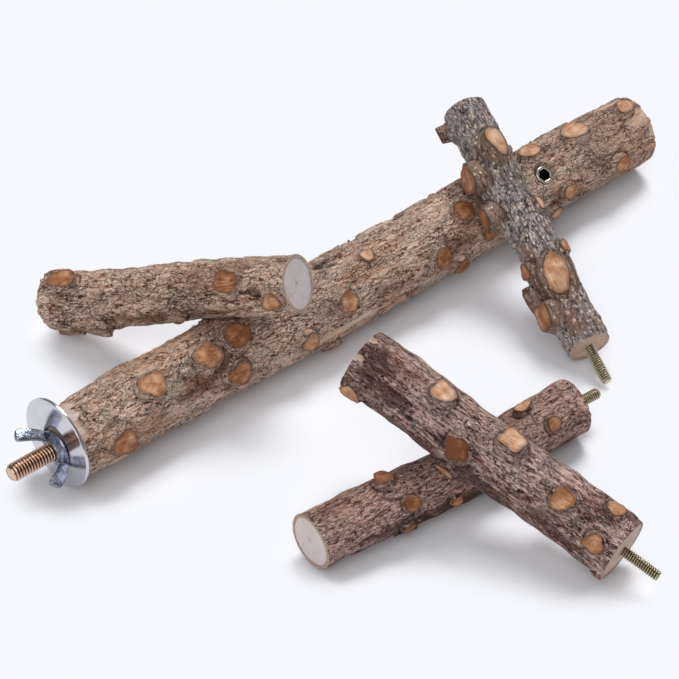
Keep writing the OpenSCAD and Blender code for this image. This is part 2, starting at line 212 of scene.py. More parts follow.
class Stick:
    """One stick of the set, in its own frame: x along it, turn 0 at its top, all in millimetres."""

    def __init__(self, name, length, near_r, far_r, phase, place, kind, stubs, bow=(), seed=0):
        self.name, self.length, self.near_r, self.far_r = name, length, near_r, far_r
        self.phase, self.place, self.kind, self.stubs = phase, place, kind, stubs
        self.bow, self.seed = bow, seed

    def radius(self, x):
        return self.near_r + (self.far_r - self.near_r) * x / self.length

    def middle(self, x):
        """Sideways and upward shift of the stick's centre line at x."""
        t = np.clip(x / self.length, 0.0, 1.0)
        sway = SWAY * np.sin(np.pi * t)
        turns = 2 * np.pi * SWAY_TURNS * t
        y = sway * np.sin(turns + math.radians(self.phase))
        z = sway * np.sin(turns + math.radians(self.phase + 90))
        for lift_y, lift_z, peak, width in self.bow:
            hump = np.exp(-((t - peak) / width) ** 2)
            ends = np.exp(-(peak / width) ** 2) * (1 - t) + np.exp(-((1 - peak) / width) ** 2) * t
            y = y + lift_y * (hump - ends)
            z = z + lift_z * (hump - ends)
        return y, z

    def swell(self, x, a):
        """How far the bark swells out of round, in long waves."""
        along = 2 * np.pi * SWELL_WAVES * x / self.length
        phase = math.radians(self.phase)
        return SWELL * (np.sin(2 * a + along + phase) + np.sin(3 * a - 2 * along - phase)) / 2

    def to_stub(self, stub, x, a):
        """Distances along and around the stick from a stub's centre, in millimetres."""
        along = x - stub["x"] * self.length
        around = 2 * self.radius(x) * np.sin((a - math.radians(stub["turn"])) / 2)
        return along, around

    def collars(self, x, a):
        """Bark that grows up around each stub, its wrinkles, and the dark seam round the stub."""
        height = np.zeros(len(x))
        seam = np.zeros(len(x))
        inside = np.zeros(len(x))
        for stub in self.stubs:
            along, around = self.to_stub(stub, x, a)
            reach = 8.5 * math.sqrt(stub["d"] / 10.5)
            d2 = (along / reach) ** 2 + (around / reach) ** 2
            near = d2 < 4
            lump = 0.8 * stub["rise"] * np.exp(-2 * d2)
            edge = np.hypot(along / stub["long"], around) - SEAM_AT * stub["d"] / 2
            side = np.arctan2(around, along)
            ripple = np.where(near, np.cos(edge * 2.9) * np.exp(-np.maximum(edge, 0) / 2.4), 0)
            lop = 0.5 + 0.5 * np.cos(side - stub["fold"])
            height += lump + 0.42 * ripple * lop * (edge > 0) * stub["folds"]
            dark = ease(1 - np.abs(edge - 0.2) / 0.9) * (0.45 + 0.55 * (1 - lop))
            seam = np.maximum(seam, near * dark)
            inside = np.maximum(inside, near * ease(-(edge + 0.8) / 1.5))
        return height, seam, inside

    def mouths(self, x, a):
        """Where the bark was drilled away round an insert, and the shaft that the insert fills, 0 to 1."""
        drilled, shaft = np.zeros(len(x)), np.zeros(len(x))
        for share, turn in INSERTS if self.name == "trunk" else ():
            along, around = self.to_stub({"x": share, "turn": turn}, x, a)
            drilled = np.maximum(drilled, ease((MOUTH_R - np.hypot(along, around)) / 0.7))
            shaft = np.maximum(shaft, (np.hypot(along, around) < SHAFT_R) * 1.0)
        return drilled, shaft


def stub(x, turn, d=10.5, rise=3.2, long=1.1, lean=12, tip=0, roll=0, corners=3, tone=0.5, folds=1.0,
         fold=3.14, inset=0.0, healed=False):
    """A pruned twig: where it stands, its size and lean, and how its face was cut."""
    return {"x": x, "turn": turn, "d": d, "rise": rise, "long": long, "lean": lean, "tip": tip,
            "roll": roll, "corners": corners, "tone": tone, "folds": folds, "fold": fold, "inset": inset,
            "healed": healed}


def lying(x, y, z, heading, tilt):
    """Frame of a side perch, from the centre of its low end."""
    return (Matrix.Translation((x * MM, y * MM, z * MM)) @ Matrix.Rotation(math.radians(heading), 4, "Z")
            @ Matrix.Rotation(math.radians(-tilt), 4, "Y"))


BOLT = Matrix.Rotation(math.radians(-90), 4, "Y")  # the bolt's frame: +Z out of the trunk's near end
FLOOR_Z = -18.4
WASHER_RISE = 3.1  # the washer hangs this far above the bolt's centre
BOLT_ROOT, STUD_ROOT = -6.0, -3.0  # where a modelled thread starts, inside the wood
BOLT_TIP, STUD_TIP = 0.33, 0.25  # how much shorter the thread is, to leave room for its domed tip
MOUTH_R, SHAFT_R = 5.2, 3.75  # the drilled spot round an insert, and the hole that the insert fills

TRUNK_STUBS = [
    stub(0.128, 32, 11.0, 3.2, 1.05, tip=-8, tone=0.72, fold=1.6),
    stub(0.06, 80, 12.2, 3.2, 1.15, tone=0.45, fold=0.8),
    stub(0.216, 34, 11.8, 3.5, 1.2, tip=6, tone=0.55, corners=4),
    stub(0.27, 28, 11.8, 2.9, 1.0, tone=0.2, corners=2), stub(0.251, 74, 11.2, 2.9, 1.1, tone=0.4),
    stub(0.365, 84, 8.9, 3.2, 1.1, tone=0.6),
    stub(0.436, 59, 10.0, 3.4, 1.05, tip=4, tone=0.62, corners=5),
    stub(0.498, 15, 5.8, 2.3, 1.1, tone=0.85), stub(0.597, 70, 8.9, 3.2, 1.05, tone=0.35, corners=2),
    stub(0.632, 104, 8.4, 2.9, tone=0.2), stub(0.657, 29, 8.9, 3.2, tone=0.15),
    stub(0.684, 74, 7.9, 2.6, tone=0.25), stub(0.808, -3, 8.9, 2.6, 1.45, tone=0.8, corners=2, folds=0.5),
    stub(0.884, 4, 10.5, 2.9, 1.25, tone=0.85, corners=2, folds=0.5),
    stub(0.83, 79, 6.8, 2.9, 1.2, tone=0.6), stub(0.806, 106, 6.8, 2.9, tone=0.5),
    stub(0.928, 83, 8.4, 2.9, 1.15, tone=0.5, folds=0.6), stub(0.975, 7, 7.9, 2.4, tone=0.8, folds=0.3),
    stub(0.2, -100, 9.4, 2.9), stub(0.34, -104, 9.4, 3.2), stub(0.47, -112, 8.4, 2.6),
    stub(0.6, -120, 8.9, 2.6), stub(0.73, -106, 9.4, 3.2), stub(0.42, 140, 8.4, 2.6)]

PERCH_1_STUBS = [
    stub(0.785, 46, 11.0, 2.4, 1.05, tone=0.3, corners=4, fold=5.6),
    stub(0.1, 15, 9.5, 1.9, 1.5, tone=0.4), stub(0.945, 88, 8.4, 1.1, tone=0.5),
    stub(0.553, 111, 7.4, 1.9, healed=True), stub(0.215, 126, 10.5, 3.0, healed=True),
    stub(0.085, 136, 10.5, 2.2, healed=True), stub(0.5, -130, 9.4, 2.9), stub(0.82, -120, 9.4, 2.6)]

PERCH_2_STUBS = [
    stub(0.953, -112, 7.6, 5.4, 1.0, 8, tone=0.5, folds=0.3),
    stub(0.8, 5, 10.4, 3.8, 1.5, roll=24, tone=0.9, folds=0.4),
    stub(0.728, -84, 12.4, 4.8, 1.1, tone=0.35, folds=0.5),
    stub(0.581, -98, 11.2, 5.0, tone=0.3, folds=0.4), stub(0.535, 36, 4.2, 2.2, 1.8, tone=0.8, folds=0.3),
    stub(0.262, -14, 11.6, 1.7, 1.75, roll=-4, tone=0.75, folds=0.15, corners=2),
    stub(0.325, -80, 6.6, 2.6, 1.2, tone=0.45, folds=0.3),
    stub(0.25, -122, 10.8, 5.0, 1.1, tone=0.45, folds=0.4),
    stub(0.15, -80, 11.4, 4.2, 1.15, tone=0.45, folds=0.4, corners=4),
    stub(0.35, 36, 6.3, 2.6, tone=0.5, folds=0.3), stub(0.82, 118, 8.4, 2.9), stub(0.42, 128, 8.4, 2.9)]

PERCH_3_STUBS = [
    stub(0.955, -98, 8.4, 2.9, tone=0.7, folds=0.4),
    stub(0.712, -9, 10.0, 3.5, 1.05, tone=0.95, corners=3, folds=0.5),
    stub(0.576, -63, 10.5, 1.6, 1.15, tone=-0.1, folds=0.4, corners=4, inset=1.3),
    stub(0.58, -118, 7.9, 2.6, tone=0.8, folds=0.4),
    stub(0.451, -7, 11.0, 4.6, 1.1, tip=5, tone=0.85, corners=4, folds=0.6),
    stub(0.221, -34, 10.5, 3.2, 1.0, tone=0.45, folds=0.5),
    stub(0.08, 5, 7.4, 2.6, 1.1, tone=0.7, folds=0.4),
    stub(0.068, -57, 8.4, 2.2, 1.1, tone=0.5, folds=0.4), stub(0.3, 128, 9.4, 2.9),
    stub(0.8, 128, 8.9, 2.9)]

PERCH_4_STUBS = [
    stub(0.739, 1, 7.9, 3.8, tone=0.05, folds=0.3), stub(0.698, -57, 6.3, 1.9, 1.2, tone=0.3, folds=0.3),
    stub(0.71, -112, 6.3, 1.3, tone=0.2), stub(0.542, -92, 5.3, 1.3, tone=0.3, folds=0.3),
    stub(0.15, -49, 6.5, 2.6, tone=0.4, folds=0.4, inset=0.4),
    stub(0.205, 6, 5.3, 2.6, 1.6, tone=0.8, folds=0.2), stub(0.35, 106, 8.4, 2.6),
    stub(0.88, 110, 7.4, 2.6)]

TRUNK = Stick("trunk", 327.0, 16.6, 16.0, 20, Matrix.Identity(4), "scaly", TRUNK_STUBS, seed=100)
PERCHES = [
    Stick("perch_1", 123.0, 12.5, 12.5, 75, lying(58.9, 79.5, FLOOR_Z + 14.0, -63.9, 21.85294),
          "scaly", PERCH_1_STUBS, seed=200),
    Stick("perch_2", 126.3, 9.9, 9.9, 140, lying(213.5, -90.2, FLOOR_Z + 10.2, 74.7, 21.622),
          "dotted", PERCH_2_STUBS, seed=300),
    Stick("perch_3", 131.8, 14.1, 14.1, 230, lying(132.3, -193.3, FLOOR_Z + 14.9, 104.1, 17.15871),
          "furrowed", PERCH_3_STUBS, seed=400),
    Stick("perch_4", 136.3, 12.3, 12.3, 310, lying(179.4, -115.4, FLOOR_Z + 13.1, 176.1, 0),
          "freckled", PERCH_4_STUBS, bow=[(5.0, 0.0, 0.45, 0.5)], seed=500)]
INSERTS = [(0.804, 39), (0.545, -80), (0.395, -178), (0.16, -118)]  # share of the trunk's length, and turn
INSERT_RECESS = 0.4


def insert_frame(row):
    """Frame of an insert, from the middle of its open end, +Z out of the trunk."""
    x, turn = row[0] * TRUNK.length, row[1]
    return (Matrix.Rotation(math.radians(turn), 4, "X")
            @ Matrix.Translation((x * MM, 0, (TRUNK.radius(x) - INSERT_RECESS) * MM)))


# Bark relief

def bark_relief(kind, p, seed):
    """Height in millimetres, cracks, light and dark, and pale spots of a bark, at points p."""
    drift = np.stack([mottle(p / 6.0 + 31.0, seed + 1), mottle(p / 6.0 + 57.0, seed + 2),
                      mottle(p / 6.0 + 83.0, seed + 3)], axis=1)
    spots = np.zeros(len(p))
    if kind == "scaly":
        _, plate_edge, plate = flakes(p / (13.0, 4.2, 4.2) + 0.5 * drift, seed + 5)
        _, flake_edge, flake = flakes(p / (4.4, 1.55, 1.55) + 0.5 * drift, seed + 9)
        grit = rough(p / (2.2, 1.1, 1.1), seed + 13, 2)
        ridge = rough(p / (16.0, 4.0, 4.0) + 0.3 * drift, seed + 15, 2)
        torn = ease((mottle(p / (15.0, 9.0, 9.0), seed + 17) + 0.2) / 0.5)
        crack = np.maximum(0.65 * torn * ease(1 - plate_edge / 0.1),
                           (0.15 + 0.35 * torn) * ease(1 - flake_edge / 0.15))
        height = 0.5 * (plate - 0.5) * (0.4 + 0.6 * torn) + 0.42 * (flake - 0.5) + 0.22 * grit + 0.5 * ridge
        height = height - 0.4 * crack
        light = 0.5 + 0.5 * (flake - 0.5) + 0.2 * (plate - 0.5) + 0.3 * grit + 0.15 * ridge
    elif kind == "dotted":
        ridge = rough(p / (9.0, 1.5, 1.5) + 0.3 * drift, seed + 5, 2)
        _, furrow_edge, strip = flakes(p / (17.0, 1.9, 1.9) + 0.3 * drift, seed + 7)
        near, _, pick = flakes(p / (3.0, 2.3, 2.3) + 0.3 * drift, seed + 9)
        spots = ease((0.36 - near) / 0.1) * (pick > 0.25) * (0.7 + 0.3 * pick)
        open_bark = ease((mottle(p / (22.0, 6.0, 6.0), seed + 15) + 0.3) / 0.4)
        crack = 0.5 * ease(1 - furrow_edge / 0.16) * open_bark
        height = 0.3 * ridge + 0.26 * (strip - 0.5) + 0.2 * spots - 0.25 * crack
        light = 0.5 + 0.3 * ridge + 0.15 * (strip - 0.5)
    elif kind == "furrowed":
        lines = rough(p / (8.5, 1.15, 1.15) + 0.35 * drift, seed + 5, 2)
        _, furrow_edge, strip = flakes(p / (14.0, 2.2, 2.2) + 0.4 * drift, seed + 7)
        near, _, pick = flakes(p / (3.6, 2.4, 2.4), seed + 9)
        spots = 0.7 * ease((0.24 - near) / 0.12) * (pick > 0.8)
        crack = 0.8 * ease(1 - furrow_edge / 0.14) * (mottle(p / 9.0, seed + 15) > -0.3)
        height = 0.26 * lines + 0.22 * (strip - 0.5) - 0.36 * crack
        light = 0.5 + 0.35 * lines + 0.12 * (strip - 0.5)
    else:
        lines = rough(p / (6.5, 1.2, 1.2) + 0.35 * drift, seed + 5, 2)
        _, furrow_edge, strip = flakes(p / (9.0, 2.0, 2.0) + 0.4 * drift, seed + 7)
        near, _, pick = flakes(p / (3.6, 2.8, 2.8) + 0.2 * drift, seed + 9)
        spots = ease((0.26 - near) / 0.12) * (pick > 0.72)
        crack = 0.55 * ease(1 - furrow_edge / 0.14) * (mottle(p / 8.0, seed + 15) > -0.1)
        height = 0.2 * lines + 0.14 * (strip - 0.5) + 0.12 * spots - 0.24 * crack
        light = 0.5 + 0.35 * lines + 0.1 * (strip - 0.5)
    return height, crack, light, spots


# Patches of bark, each a ragged oval: its middle, in millimetres along the stick, its turn in degrees, its
# half length and half width, and for plates and pits how far it stands out or goes in.
PLATES = {
    "trunk": ((152, -30, 12, 19, 1.4), (180, -36, 9, 17, 1.1), (203, -36, 11, 17, 1.1),
              (228, -28, 11, 16, 1.0), (96, -40, 12, 14, 0.9), (118, -52, 9, 12, 0.9),
              (250, 110, 9, 12, 0.9), (60, 118, 10, 12, 0.8), (40, -60, 9, 10, 0.8),
              (288, -50, 10, 12, 0.8)),
    "perch_1": ((4, -20, 5, 30, 1.0), (3, 60, 4, 26, 1.1), (20, 112, 7, 14, 0.9), (112, 60, 5, 16, 0.9),
                (70, 96, 6, 10, 0.7)),
    "perch_2": ((43, 36, 6, 14, 1.1), (67, 42, 7, 10, 1.0), (14, -50, 9, 22, 0.7), (5, 40, 5, 30, 0.7)),
    "perch_3": ((1, -114, 4, 12, 1.2), (5, 10, 5, 24, 0.6), (126, -100, 7, 16, 0.7)),
    "perch_4": ((97, -128, 5, 9, 1.1), (3, -60, 3, 30, 0.7), (27, 6, 5, 10, 0.6))}
PITS = {
    "trunk": ((143, -13, 3.2, 8, 1.4), (147, -4, 2.4, 5, 0.9), (163, 15, 2.2, 6, 1.0),
              (170, -18, 2.2, 6, 0.8), (97, -30, 3, 6, 0.7)),
    "perch_1": ((110, 78, 2.6, 8, 1.0), (92, 20, 3, 6, 0.5), (1.5, -40, 2, 12, 1.0), (2, 30, 2, 8, 0.8)),
    "perch_2": ((40, -52, 4, 12, 0.8), (30, -88, 5, 12, 0.8)),
    "perch_3": ((99.7, -76, 1.8, 6, 0.8), (62, -30, 2.5, 4, 0.6))}
# Stains and painted shade, as ragged ovals. The long first rows of perch_3 and perch_4 paint the shade along
# their undersides, and the trunk's rows round its knots beside perch_1 are partly painted shade; the other
# rows are the bark's own stains.
STAINS_AND_SHADE = {
    # The trunk's rows at 76, 64 and 82 mm darken the knots beside perch_1: partly painted shade near
    # perch_1's shadow, partly darker bark.
    "trunk": ((163, 14, 3.4, 7), (76, 50, 14, 36), (64, 62, 15, 26), (82, 84, 14, 20), (118, -30, 20, 14),
              (205, 70, 16, 18)),
    "perch_1": ((62, 110, 46, 18), (108, 66, 6, 12)),
    "perch_2": ((34, -60, 22, 34), (10, -30, 10, 26), (96, -60, 9, 16)),
    # perch_3's first row, along its underside, is painted shade.
    "perch_3": ((66, -116, 72, 30), (124, -30, 11, 30), (112, -66, 16, 24), (76, -66, 16, 22),
                (60, -96, 26, 16), (99.7, -76, 2.2, 7), (24, -90, 22, 16)),
    # perch_4's first row, along its underside, is painted shade.
    "perch_4": ((66, -120, 70, 44), (110, -96, 18, 14))}
BARE = {
    "trunk": ((322, 30, 8, 16), (330, 62, 6, 22), (319, -30, 9, 18), (60, -120, 12, 20)),
    "perch_1": ((119, 84, 6, 14),),
    "perch_3": ((131.5, 2, 3, 9), (130, -40, 2.5, 6))}


def patches(rows, x, turn, ragged, soft):
    """How far each point lies inside the rows' ragged ovals, 0 to 1, and the height given with them."""
    inside, height = np.zeros(len(x)), np.zeros(len(x))
    for mid, at, long, wide, *tall in rows:
        oval = ease((1 - np.hypot((x - mid) / long, (turn - at) / wide) + 0.5 * ragged) / soft)
        inside = np.maximum(inside, oval)
        height = np.maximum(height, oval * (tall[0] if tall else 0))
    return inside, height


def bare_patches(stick, x, a, p):
    """Where the bark has come away: 0 on bark, 1 on bare wood, and how white the wood is there."""
    ragged = rough(p / (5.0, 2.0, 2.0), stick.seed + 61, 3)
    turn = np.degrees(a)
    ragged_edge = 0.8 * ragged if stick.name == "perch_3" else ragged
    bare, _ = patches(BARE.get(stick.name, ()), x, turn, ragged_edge, 0.15)
    white = np.zeros(len(x))
    if stick.name == "trunk":
        reach = 11.5 * (1 - np.clip((turn + 40) / 130, -0.3, 1) ** 2)
        reach = reach - np.where(turn < -60, 0.12 * (-60 - turn), 0)
        bare = np.maximum(bare, ease((reach + 5.0 * ragged - x) / 0.8) * (np.abs(turn - 20) < 110))
        white, _ = patches([(6.0, 9, 3.4, 14)], x, turn, ragged, 0.5)
        tail, _ = patches([(4.0, 30, 2.6, 16)], x, turn, ragged, 0.6)
        white = np.maximum(white, 0.6 * tail)
        band = 1 - np.hypot((x - 141) / 30, (turn - 104 + (x - 141) * 0.15) / 11)
        bare = np.maximum(bare, ease((band + 0.35 * ragged) / 0.12))
        scar = 1 - np.hypot((x - 148.5) / 8.5, (turn - 100) / 6.5)
        bare = np.maximum(bare, ease((scar + 0.1) / 0.1))
        white = np.maximum(white, ease(scar / 0.12))
    return bare, white


# Making the meshes

# How far a surface lies inside its stick's own radius, in millimetres.
BARK_IN, BARE_IN, SEAM_IN, UNDER_STUB_IN, MOUTH_IN, SHAFT_IN = 0.25, 0.95, 0.6, 1.6, 2.6, 11.0
WOOD_IN, WOOD_SHAFT_IN = 2.2, 11.3
SAWN_ABOVE = 0.6  # the most that a sawn rim stands outside the radius
THREAD_DEPTH, CORE = 0.6, 0.74  # a groove's depth in pitches, and the radius of a rod's ends in its own radii
WELD = 1e-4


def turned(profile, around, axis="X"):
    """A skin: the profile's points (along, out) turned once about the axis."""
    along = Vector((1, 0, 0)) if axis == "X" else Vector((0, 0, 1))
    out = Vector((0, 0, 1)) if axis == "X" else Vector((1, 0, 0))
    bm = bmesh.new()
    chain = [bm.verts.new(along * a + out * r) for a, r in profile]
    links = [bm.edges.new(pair) for pair in zip(chain, chain[1:])]
    bmesh.ops.spin(bm, geom=chain + links, cent=(0, 0, 0), axis=along, angle=2 * math.pi, steps=around,
                   use_merge=True)
    poles = [v for v in bm.verts if (v.co - along * v.co.dot(along)).length < 1e-5]
    bmesh.ops.remove_doubles(bm, verts=poles, dist=1e-5)
    bmesh.ops.recalc_face_normals(bm, faces=bm.faces)
    return bm


def welded(bm):
    """Closes a profile that ends where it began, and points its faces outwards."""
    bmesh.ops.remove_doubles(bm, verts=bm.verts, dist=WELD)
    bmesh.ops.recalc_face_normals(bm, faces=bm.faces)
    return bm


def to_mesh(bm, name):
    mesh = bpy.data.meshes.new(name)
    bm.to_mesh(mesh)
    bm.free()
    return mesh


def points_of(mesh):
    co = np.empty(3 * len(mesh.vertices), dtype=np.float32)
    mesh.vertices.foreach_get("co", co)
    return co.reshape(-1, 3).astype(float)


def put_points(mesh, p):
    mesh.vertices.foreach_set("co", np.ascontiguousarray(p, dtype=np.float32).ravel())
    mesh.update()


def mark(mesh, name, values):
    """Keeps one number, or one vector, a vertex for the materials to read."""
    vector = values.ndim == 2
    layer = mesh.attributes.new(name, "FLOAT_VECTOR" if vector else "FLOAT", "POINT")
    layer.data.foreach_set("vector" if vector else "value",
                           np.ascontiguousarray(values, dtype=np.float32).ravel())


def placed(mesh, place):
    """Turns millimetres in a piece's own frame into metres in the shared frame."""
    mesh.transform(place @ Matrix.Scale(MM, 4))
    return mesh


def finished(name, mesh, materials, body, node):
    """Adds the piece to the scene, riding on its body and standing for its CAD node."""
    piece = bpy.data.objects.new(name, mesh)
    bpy.context.scene.collection.objects.link(piece)
    for material in materials:
        mesh.materials.append(material)
    mesh.shade_smooth()
    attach(piece, body)
    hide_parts(node)


def joined(meshes, name):
    """One mesh from several, keeping their attributes and material numbers."""
    bm = bmesh.new()
    for mesh in meshes:
        bm.from_mesh(mesh)
    whole = to_mesh(bm, name)
    for mesh in meshes:
        bpy.data.meshes.remove(mesh)
    return whole


def bark_surface(stick, x, a, relief):
    """Outer radius of the bark, with the numbers that its material reads."""
    base = stick.radius(x)
    p = np.stack([x, -base * np.sin(a), base * np.cos(a)], axis=1)
    height, crack, light, spots = bark_relief(stick.kind, p, stick.seed)
    lump, seam, inside = stick.collars(x, a)
    bare, white = bare_patches(stick, x, a, p)
    drilled, shaft = stick.mouths(x, a)
    turn = np.degrees(a)
    ragged = rough(p / (3.4, 1.7, 1.7), stick.seed + 65, 2)
    plate, thick = patches(PLATES.get(stick.name, ()), x, turn, 1.3 * ragged, 0.1)
    # Stains and painted shade, from the table of patches.
    stain, _ = patches(STAINS_AND_SHADE.get(stick.name, ()), x, turn, ragged, 0.5)
    if stick.name == "trunk":
        stain = np.maximum(0.8 * stain, 0.3 * ease((x - 235) / 60))
    pit, sunk = patches(PITS.get(stick.name, ()), x, turn, ragged, 0.4)
    end = ease(np.minimum(x, stick.length - x) / 9.0)
    height = relief * height * (1 - 0.85 * bare) * (0.4 + 0.6 * end)
    lump = lump * (0.25 + 0.75 * end)
    fat = 0.0
    if stick.name == "trunk":
        fat = 0.7 * np.sin(np.pi * np.clip(x / stick.length, 0, 1)) ** 2
        fat = fat - 1.2 * np.exp(-((x - 9) / 8) ** 2) * np.clip(np.cos(np.radians(turn + 20)), 0, 1)
    radius = base + fat + stick.swell(x, a) + lump + height + relief * (thick - sunk) * (1 - inside)
    radius = radius - BARK_IN - BARE_IN * bare - SEAM_IN * seam - UNDER_STUB_IN * inside
    radius = radius + drilled * (base - MOUTH_IN - radius) - shaft * SHAFT_IN
    bare = np.maximum(bare, drilled)
    crack = np.maximum(crack * (1 - bare), seam)
    crack = np.maximum(crack, 4 * bare * (1 - bare) * np.clip(0.5 + 0.8 * ragged, 0, 1))
    crack = np.maximum(np.maximum(crack, 3.6 * plate * (1 - plate)), pit)
    return radius, {"crack": crack, "light": light, "spots": spots * (1 - bare), "bare": bare, "white": white,
                    "drilled": drilled, "stain": stain}


def bark_mesh(stick, step, rim, relief):
    """The bark of a stick, closed down to its wood at both saw cuts."""
    top = max(stick.near_r, stick.far_r)
    around = int(round(2 * math.pi * top / step))
    along = int(round(stick.length / step))
    lip = [(0.0, top - rim - 1.0), (0.0, top - rim), (0.0, top - 0.5 * rim)]
    far = [(stick.length, r) for _, r in reversed(lip)]
    profile = lip + [(stick.length * k / along, top) for k in range(along + 1)] + far
    mesh = to_mesh(turned(profile, around), stick.name + "_bark")
    p = points_of(mesh)
    x, out, a = p[:, 0], np.hypot(p[:, 1], p[:, 2]), np.arctan2(-p[:, 1], p[:, 2])
    radius, marks = bark_surface(stick, x, a, relief)
    depth = top - out
    ring = 1.2 * stick.near_r
    chipped = 0.35 * rough(np.stack([x + 5, ring * np.sin(a), ring * np.cos(a)], 1), stick.seed + 71, 2)
    cut = depth > 0.02
    radius = np.where(cut, np.minimum(radius, stick.radius(x) + SAWN_ABOVE) - depth, radius)
    mid_y, mid_z = stick.middle(x)
    y, z = mid_y - radius * np.sin(a), mid_z + radius * np.cos(a)
    rim_row = (np.minimum(x, stick.length - x) < 0.3) & ~cut
    x = x + np.where(rim_row, np.where(x < 1, 0.25 + chipped, -0.25 - chipped), 0)
    x = np.clip(x, 0, stick.length)
    put_points(mesh, np.stack([x, y, z], 1))
    mark(mesh, "stick_point", np.stack([x, y, z], 1))
    for name, values in marks.items():
        mark(mesh, name, values)
    mark(mesh, "sawn", np.where(cut, 1.0, 0.0))
    return placed(mesh, stick.place)


def wood_mesh(stick, rim, rings=26, around=120):
    """The wood of a stick, with its two sawn faces."""
    top = max(stick.near_r, stick.far_r) - rim
    face = [(0.0, top * k / rings) for k in range(rings + 1)]
    rows = int(stick.length / 1.3) if stick.name == "trunk" else 12
    profile = face + [(stick.length * k / rows, top) for k in range(1, rows)] + [
        (stick.length, r) for _, r in reversed(face)]
    mesh = to_mesh(turned(profile, around), stick.name + "_wood")
    p = points_of(mesh)
    x, out, a = p[:, 0], np.hypot(p[:, 1], p[:, 2]), np.arctan2(-p[:, 1], p[:, 2])
    surface, _ = bark_surface(stick, np.where(x < stick.length / 2, 0.0, stick.length), a, 1.0)
    surface = np.minimum(surface, stick.radius(x) + SAWN_ABOVE)
    on_end = (x < 0.01) | (x > stick.length - 0.01)
    _, shaft = stick.mouths(x, a)
    side = stick.radius(x) - WOOD_IN - WOOD_SHAFT_IN * shaft
    scale = np.where(on_end, surface - rim, side) / top
    scale = np.where(out / top > 0.995, scale, scale * 0.999)
    q = np.stack([x, p[:, 1] * scale, p[:, 2] * scale], 1)
    mid_y, mid_z = stick.middle(x)
    saw = 0.05 * rough(np.stack([x * 0, q[:, 1] / 0.9 + 0.6 * q[:, 2], q[:, 2] / 2.5], 1), stick.seed + 81, 2)
    inward = np.where(x < 1, 1, np.where(x > stick.length - 1, -1, 0))
    x = x + inward * (0.12 + saw)
    y, z = q[:, 1] + mid_y, q[:, 2] + mid_z
    put_points(mesh, np.stack([x, y, z], 1))
    mark(mesh, "stick_point", np.stack([x, y, z], 1))
    return placed(mesh, stick.place)


def stub_mesh(stick, cut, number, sides):
    """A twig stub: bark up its side, a thin rim, and a sawn face. All in the stick's own frame."""
    half = cut["d"] / 2
    rings = 9
    base_r = float(stick.radius(cut["x"] * stick.length))
    low = base_r - 1.2
    height = cut["rise"] + 1.2
    profile = [(low - 1.5, 1.45 * half)]
    for k in range(8):
        t = k / 7
        flare = 1.0 + 0.3 * (1 - t) ** 1.7
        profile.append((low + height * t * 0.97, flare * half))
    profile.append((low + height * 0.995, 0.965 * half))
    profile.append((low + height, 0.93 * half))
    profile += [(low + height, 0.9 * half * (1 - k / rings)) for k in range(rings + 1)]
    mesh = to_mesh(turned(profile, sides, "Z"), f"stub_{number}")
    p = points_of(mesh)
    out, angle = np.hypot(p[:, 0], p[:, 1]), np.arctan2(p[:, 1], p[:, 0])
    up = np.clip((p[:, 2] - low) / height, -0.5, 1)
    seed = stick.seed + 17 * number
    ring = np.stack([np.cos(angle) * 1.3 + 3 * number, np.sin(angle) * 1.3, np.zeros(len(p))], 1)
    shape = 1 + 0.1 * np.cos(cut["corners"] * angle + 1.7 * number) + 0.13 * mottle(ring, seed)
    shape = shape + 0.06 * mottle(3.1 * ring, seed + 1)
    shape = 1 + (shape - 1) * np.clip(up + 0.4, 0.2, 1)
    on_face = (up > 0.985) & (out < 0.95 * half)
    side_grit = rough(np.stack([p[:, 0] / 2.0, p[:, 1] / 2.0, p[:, 2] / 1.4], 1) + 9 * number, seed + 3, 2)
    out2 = out * shape + np.where(on_face, 0, 0.35 * side_grit * (up > -0.2))
    px, py = out2 * np.cos(angle) * cut["long"], out2 * np.sin(angle)
    rough_cut = 0.05 * rough(np.stack([px / 4.0, py / 0.8, 0 * px], 1), seed + 5, 2)
    rough_cut = rough_cut - cut["inset"] * on_face * (1 - (out / half) ** 2)
    slope = px * math.tan(math.radians(cut["tip"])) + py * math.tan(math.radians(cut["roll"]))
    drop = slope * np.clip(up, 0, 1) ** 2
    pz = p[:, 2] - drop + rough_cut * (up > 0.9) - 0.12 * (up > 0.9) * (out / half) ** 3
    lean = (p[:, 2] - (low + height)) * math.tan(math.radians(cut["lean"]))
    px = px + lean
    t = math.radians(cut["turn"])
    x = px + cut["x"] * stick.length
    mid_y, mid_z = stick.middle(x)
    local_y, local_z = -py, pz
    y = mid_y + local_y * math.cos(t) - local_z * math.sin(t)
    z = mid_z + local_y * math.sin(t) + local_z * math.cos(t)
    x = np.clip(x, 0.15, stick.length - 0.15)
    put_points(mesh, np.stack([x, y, z], 1))
    mark(mesh, "stick_point", np.stack([x, y, z], 1))
    sawn = on_face | ((out < 0.94 * half) & (up > 0.98))
    face_index = [int(all(sawn[v] for v in poly.vertices) and not cut["healed"]) for poly in mesh.polygons]
    mesh.polygons.foreach_set("material_index", face_index)
    crack = np.clip(0.9 * ease((0.25 - up) / 0.5), 0, 1) + 0.85 * ((up > 0.9) & ~on_face)
    mark(mesh, "crack", np.clip(crack, 0, 1))
    mark(mesh, "light", 0.45 + 0.4 * side_grit)
    for name in ("bare", "white", "sawn", "drilled"):
        mark(mesh, name, np.zeros(len(p)))
    mark(mesh, "stain", np.full(len(p), 0.9 if stick.kind == "dotted" else 0.25))
    mark(mesh, "spots", np.full(len(p), 0.12 if stick.kind == "dotted" else 0.0))
    mark(mesh, "tone", np.full(len(p), cut["tone"]))
    mark(mesh, "from_middle", np.clip(out / half, 0, 1))
    return mesh


def stubs_mesh(stick, sides):
    meshes = [stub_mesh(stick, cut, k + 1, sides) for k, cut in enumerate(stick.stubs)]
    return placed(joined(meshes, stick.name + "_stubs"), stick.place)


